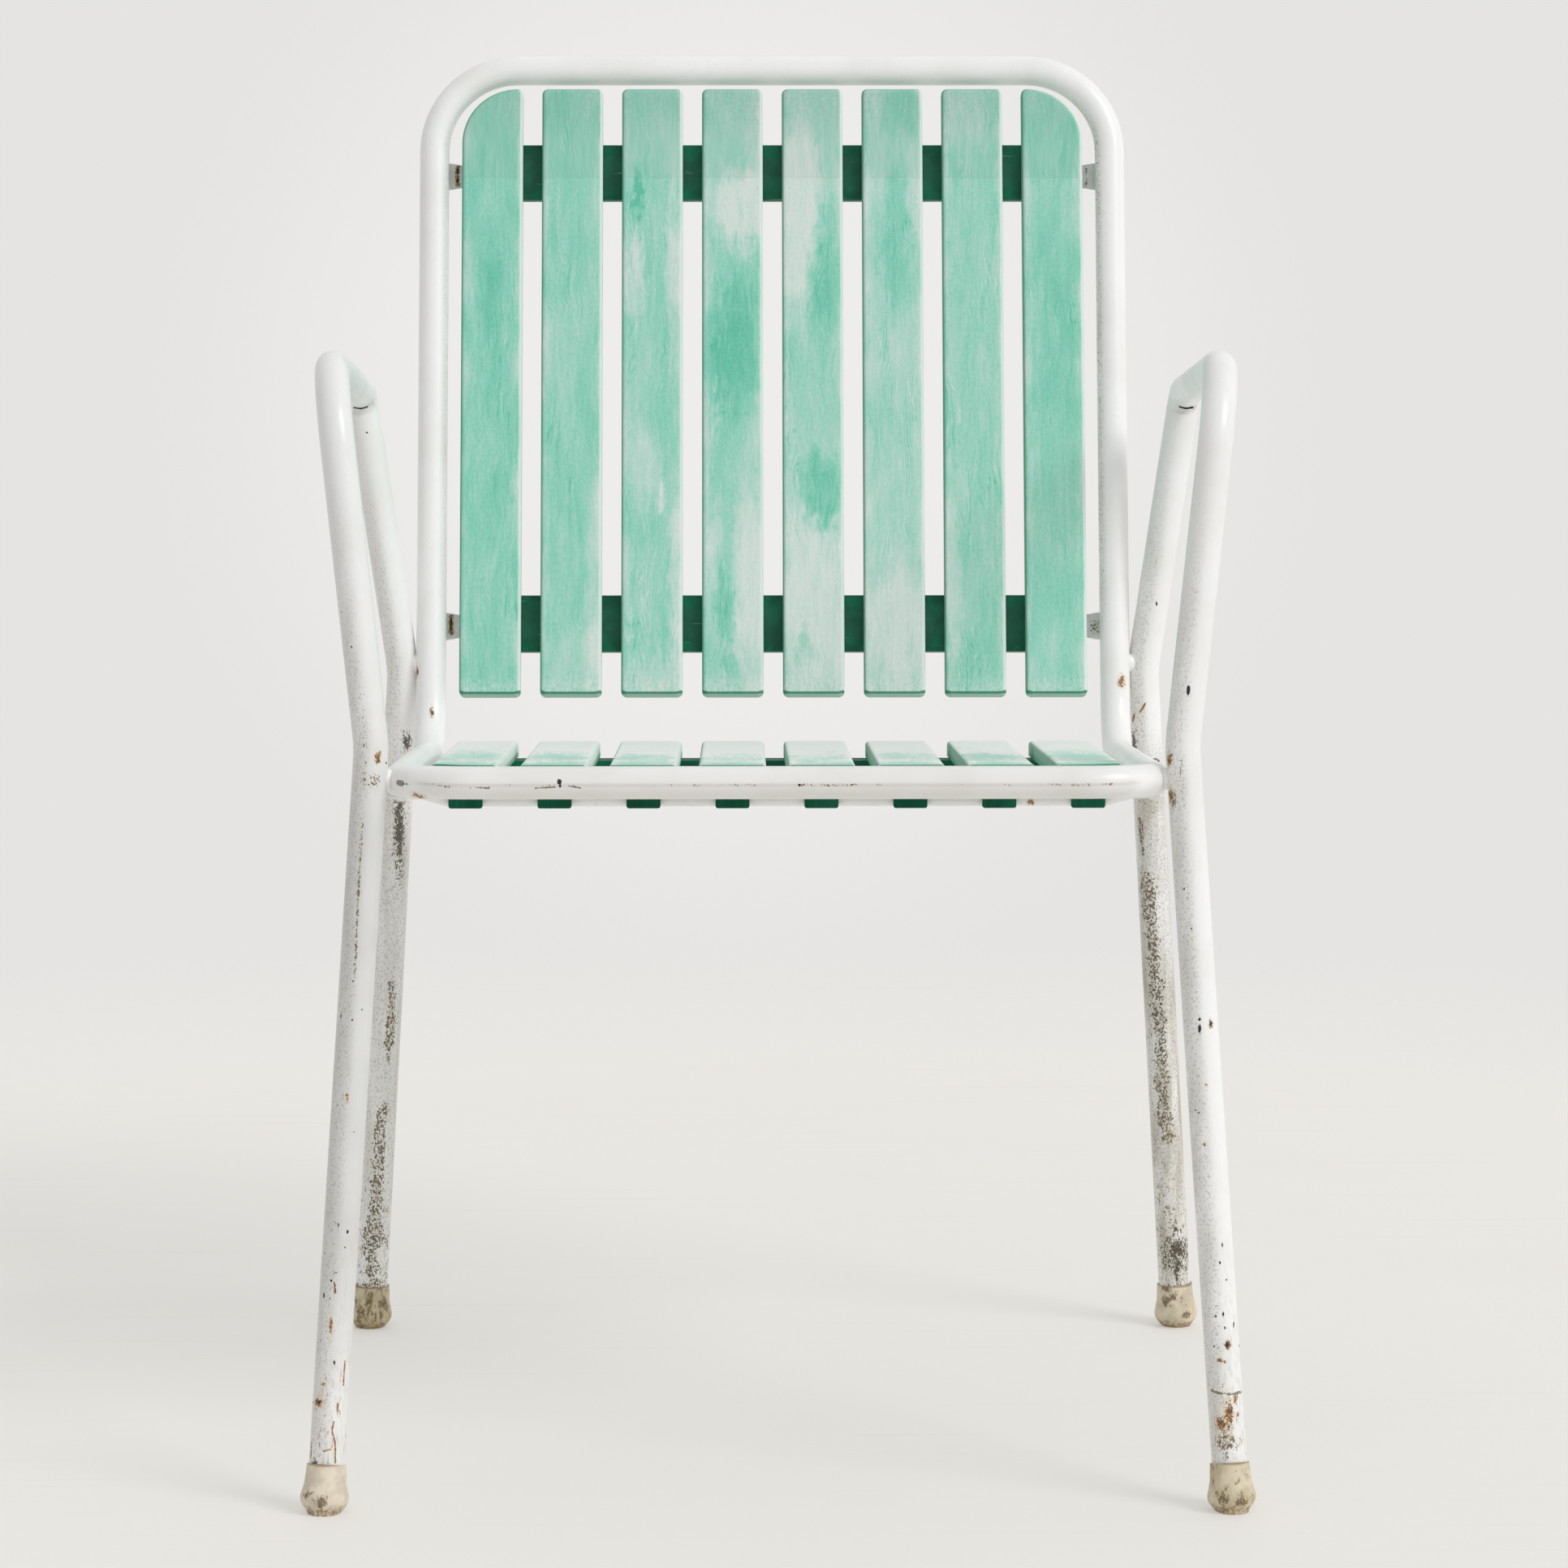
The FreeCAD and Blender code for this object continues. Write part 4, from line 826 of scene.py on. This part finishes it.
def make_rail(node_name, tilt, seed):
    """Dark green plastic with pale scratches along it."""
    s = Shader("plastic_" + node_name)
    along_axis = Vector((0, math.cos(tilt), math.sin(tilt)))
    steps = [along_axis.dot(v.co) for v in nodes[node_name].data.vertices]
    middle = (min(steps) + max(steps)) / 2
    half = (max(steps) - min(steps)) / 2
    across = s.math("MULTIPLY_ADD", s.vector("DOT_PRODUCT", s.place, along_axis), 1 / half, -middle / half)
    place = s.vector("ADD", s.place, (seed, seed, seed))
    cloud = s.noise(place, scale=60, detail=4, roughness=0.6)
    fine = s.noise(place, scale=420, detail=4, roughness=0.65)
    brushed = s.noise(s.scaled(place, 30, 400, 400), detail=3, roughness=0.6)
    reach = s.math("ADD", s.math("ABSOLUTE", across), s.swing(cloud, 0.35))
    film = s.times(s.fade(reach, 0.82, 0.35), s.math("MULTIPLY_ADD", fine, 0.7, 0.35))
    colour = s.mix(s.fade(cloud, 0.35, 0.65), RAIL_DARK, RAIL_GREEN)
    colour = s.mix(s.times(film, 0.65), colour, RAIL_FILM)
    colour = s.mix(s.fade(brushed, 0.68, 0.76, high=0.35), colour, PALE_MINT)
    roughness = s.math("MULTIPLY_ADD", film, 0.25, 0.38)
    s.surface.inputs["Specular IOR Level"].default_value = PLASTIC_SHEEN
    return s.finish(colour, roughness, s.bump(s.add(fine, brushed), RAIL_RELIEF, 0.5))


RAIL_TILTS = {"seat_front_rail": -SEAT_TILT, "seat_rear_rail": -SEAT_TILT,
              "back_lower_rail": BACK_TILT, "back_upper_rail": BACK_TILT}
for number, (node_name, tilt) in enumerate(RAIL_TILTS.items()):
    nodes[node_name].material_slots[0].material = make_rail(node_name, tilt, number * RAIL_SEED_STEP)

# Rubber ferrules
RUBBER = srgb(228, 217, 198)
RUBBER_GREY = srgb(206, 196, 177)
RUBBER_BROWN = srgb(136, 108, 70)
RUBBER_OLIVE = srgb(174, 157, 102)
RUBBER_SMEAR = srgb(98, 82, 44)
RUBBER_BLACK = srgb(56, 49, 38)
RUBBER_RELIEF = 0.3 * MM
RUBBER_SEED_STEP = 1.9
# Patches of dirt on each ferrule: the pixel it is seen at and its radius in mm
FERRULE_PATCHES = {
    "front_left_foot": [((378, 1842), 4.0), ((396, 1853), 6.0), ((376, 1822), 3.0)],
    "front_right_foot": [((1505, 1845), 6.0), ((1530, 1850), 6.0)],
    "rear_left_foot": [((444, 1618), 5.0), ((472, 1606), 6.0), ((455, 1604), 5.0)],
    "rear_right_foot": [((1437, 1604), 6.5), ((1436, 1588), 5.0), ((1446, 1598), 5.0), ((1462, 1620), 4.0)],
}
# How much of each ferrule an olive film covers: dirt, and in part painted shade
FERRULE_DIRT_AND_SHADE = {
    "front_left_foot": 0.05,
    "front_right_foot": 0.42,
    "rear_left_foot": 0.56,
    "rear_right_foot": 0.26,
}


def make_rubber(node_name, film, seed):
    """Yellowed white rubber under its dirt, with painted shade at its top rim and in part of its olive
    film.
    """
    s = Shader("rubber_" + node_name)
    low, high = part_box(node_name)
    z = s.split(s.place)[2]
    up = s.times(z, 1 / (high.z - low.z))
    place = s.vector("ADD", s.place, (seed, seed, seed))
    cloud = s.noise(place, scale=80, detail=4, roughness=0.6)
    fine = s.noise(place, scale=1100, detail=3, roughness=0.65)
    blot = s.noise(s.scaled(place, 420, 420, 250), detail=4, roughness=0.70)
    ragged = s.add(s.swing(blot, 1.5), s.swing(fine, 0.7))
    colour = s.mix(s.fade(cloud, 0.38, 0.66), RUBBER, RUBBER_GREY)
    colour = s.mix(s.times(s.fade(cloud, 0.25, 0.60, low=0.4), film), colour, RUBBER_OLIVE)
    smeared = s.add(s.noise(s.scaled(place, 300, 300, 120), detail=4, roughness=0.65), s.swing(cloud, 0.15))
    smear_edge = 0.70 - film * 0.33
    colour = s.mix(s.fade(smeared, smear_edge, smear_edge + 0.12, high=0.80), colour, RUBBER_SMEAR)
    foot = s.math("ADD", s.fade(up, 0.40, 0.02, low=-0.7, high=0.55), ragged)
    colour = s.mix(s.fade(foot, 0.05, 0.75, high=0.8), colour, RUBBER_BROWN)
    closeness = [NOWHERE]
    for pixel, radius in FERRULE_PATCHES[node_name]:
        hit_name, point = seen_at(pixel)
        if hit_name == node_name:
            distance = s.vector("DISTANCE", s.place, point)
            closeness.append(s.math("SUBTRACT", 1.0, s.times(distance, 1 / (radius * MM))))
    dirty = s.fade(s.math("ADD", s.most(closeness), s.times(ragged, 1.3)), 0.25, 0.75, high=0.85)
    colour = s.mix(dirty, colour, s.mix(s.fade(fine, 0.42, 0.60), RUBBER_BLACK, RUBBER_BROWN))
    specks = s.fade(blot, 0.74, 0.78, high=0.7)
    colour = s.mix(specks, colour, RUBBER_BROWN)
    # Painted shade in the gap at the ferrule's top rim, under the tube
    gap_shade_rim = s.times(s.fade(up, 0.93, 0.985), 0.75)
    colour = s.mix(gap_shade_rim, colour, RUBBER_BROWN)
    roughness = s.math("MULTIPLY_ADD", cloud, 0.25, 0.50)
    return s.finish(colour, roughness, s.bump(s.add(fine, s.times(blot, 1.5)), RUBBER_RELIEF, 0.4))


for number, (node_name, film) in enumerate(FERRULE_DIRT_AND_SHADE.items()):
    nodes[node_name].material_slots[0].material = make_rubber(node_name, film, number * RUBBER_SEED_STEP)

# Stage: pale floor that fades into an even background
BACKGROUND = srgb(229, 228, 226)
BACKGROUND_LIGHT_POOL = srgb(238, 237, 235)
FLOOR = srgb(245, 242, 237)
FLOOR_GREY = srgb(228, 222, 214)
FLOOR_RADIUS = 2.0
FLOOR_FADE_START = 1.15
FLOOR_FADE_END = 1.95
FLOOR_DROP = 0.2 * MM
FLOOR_RELIEF = 0.2 * MM
FLOOR_GLOW = 0.42
FLOOR_SHOWN = srgb(233, 231, 227)
FLOOR_SIDES = 96


def make_floor():
    """A round floor that turns clear towards its rim."""
    mesh = bpy.data.meshes.new("floor")
    shape = bmesh.new()
    bmesh.ops.create_circle(shape, cap_ends=True, segments=FLOOR_SIDES, radius=FLOOR_RADIUS)
    shape.to_mesh(mesh)
    shape.free()
    floor = bpy.data.objects.new("floor", mesh)
    floor.location.z = -FLOOR_DROP
    bpy.context.scene.collection.objects.link(floor)
    s = Shader("floor")
    drawn = s.noise(s.scaled(s.place, 3, 120, 1), detail=4, roughness=0.6)
    cloud = s.noise(s.place, scale=4, detail=4, roughness=0.5)
    fine = s.noise(s.place, scale=260, detail=3, roughness=0.6)
    streaks = s.fade(drawn, 0.55, 0.8, high=0.35)
    shade = s.add(streaks, s.swing(cloud, 0.25), s.fade(fine, 0.6, 0.8, high=0.3))
    roughness = s.math("MULTIPLY_ADD", cloud, 0.2, 0.55)
    s.finish(s.mix(shade, FLOOR, FLOOR_GREY), roughness, s.bump(fine, FLOOR_RELIEF, 0.3))
    glow = s.node("ShaderNodeEmission")
    glow.inputs["Color"].default_value = FLOOR_SHOWN
    lit = s.blend(s.times(s.shown(), FLOOR_GLOW), s.surface.outputs[0], glow.outputs[0])
    clear = s.node("ShaderNodeBsdfTransparent")
    fading = s.fade(s.vector("LENGTH", s.place), FLOOR_FADE_START, FLOOR_FADE_END)
    faded = s.blend(fading, lit, clear.outputs[0])
    s.feed(s.tree.nodes["Material Output"].inputs["Surface"], faded)
    mesh.materials.append(s.material)


make_floor()

# Light
AMBIENT = 0.66
AMBIENT_LEAN = Vector((0.12, 0.30, 0.0))
KEY_DIRECTION = Vector((0.70, -0.48, 0.70)).normalized()
KEY_SPREAD = math.radians(26)
KEY_STRENGTH = 1.15
FILL_DIRECTION = Vector((0.15, -1.0, 0.35)).normalized()
FILL_SPREAD = math.radians(60)
FILL_STRENGTH = 0.28
# The backdrop is a little brighter behind the middle of the chair: a painted pool of light
POOL_DIRECTION = Vector((0, 1, -0.07)).normalized()
POOL_REACH = math.radians(5.9)


def make_world():
    """Even light that leans a little to one side, and a backdrop that only shows."""
    world = bpy.data.worlds.new("studio")
    bpy.context.scene.world = world
    world.use_nodes = True
    s = NodeTree(world.node_tree)
    outlook = s.node("ShaderNodeTexCoord").outputs["Generated"]
    lamp = s.tree.nodes["Background"]
    lamp.inputs["Color"].default_value = (1.0, 1.0, 1.0, 1.0)
    lean = s.vector("DOT_PRODUCT", outlook, AMBIENT * AMBIENT_LEAN)
    s.feed(lamp.inputs["Strength"], s.add(lean, AMBIENT))
    backdrop = s.node("ShaderNodeBackground")
    pool = s.fade(s.vector("DOT_PRODUCT", outlook, POOL_DIRECTION), math.cos(POOL_REACH), 1.0)
    s.feed(backdrop.inputs["Color"], s.mix(pool, BACKGROUND, BACKGROUND_LIGHT_POOL))
    sky = s.blend(s.shown(), lamp.outputs[0], backdrop.outputs[0])
    s.feed(s.tree.nodes["World Output"].inputs["Surface"], sky)


def make_lamp(name, direction, spread, strength):
    """A sun of a wide angle, for soft shadows."""
    data = bpy.data.lights.new(name, "SUN")
    data.angle = spread
    data.energy = strength
    lamp = bpy.data.objects.new(name, data)
    lamp.rotation_euler = direction.to_track_quat("Z", "Y").to_euler()
    bpy.context.scene.collection.objects.link(lamp)


make_world()
make_lamp("key", KEY_DIRECTION, KEY_SPREAD, KEY_STRENGTH)
make_lamp("fill", FILL_DIRECTION, FILL_SPREAD, FILL_STRENGTH)
bpy.context.scene.view_settings.view_transform = "Standard"
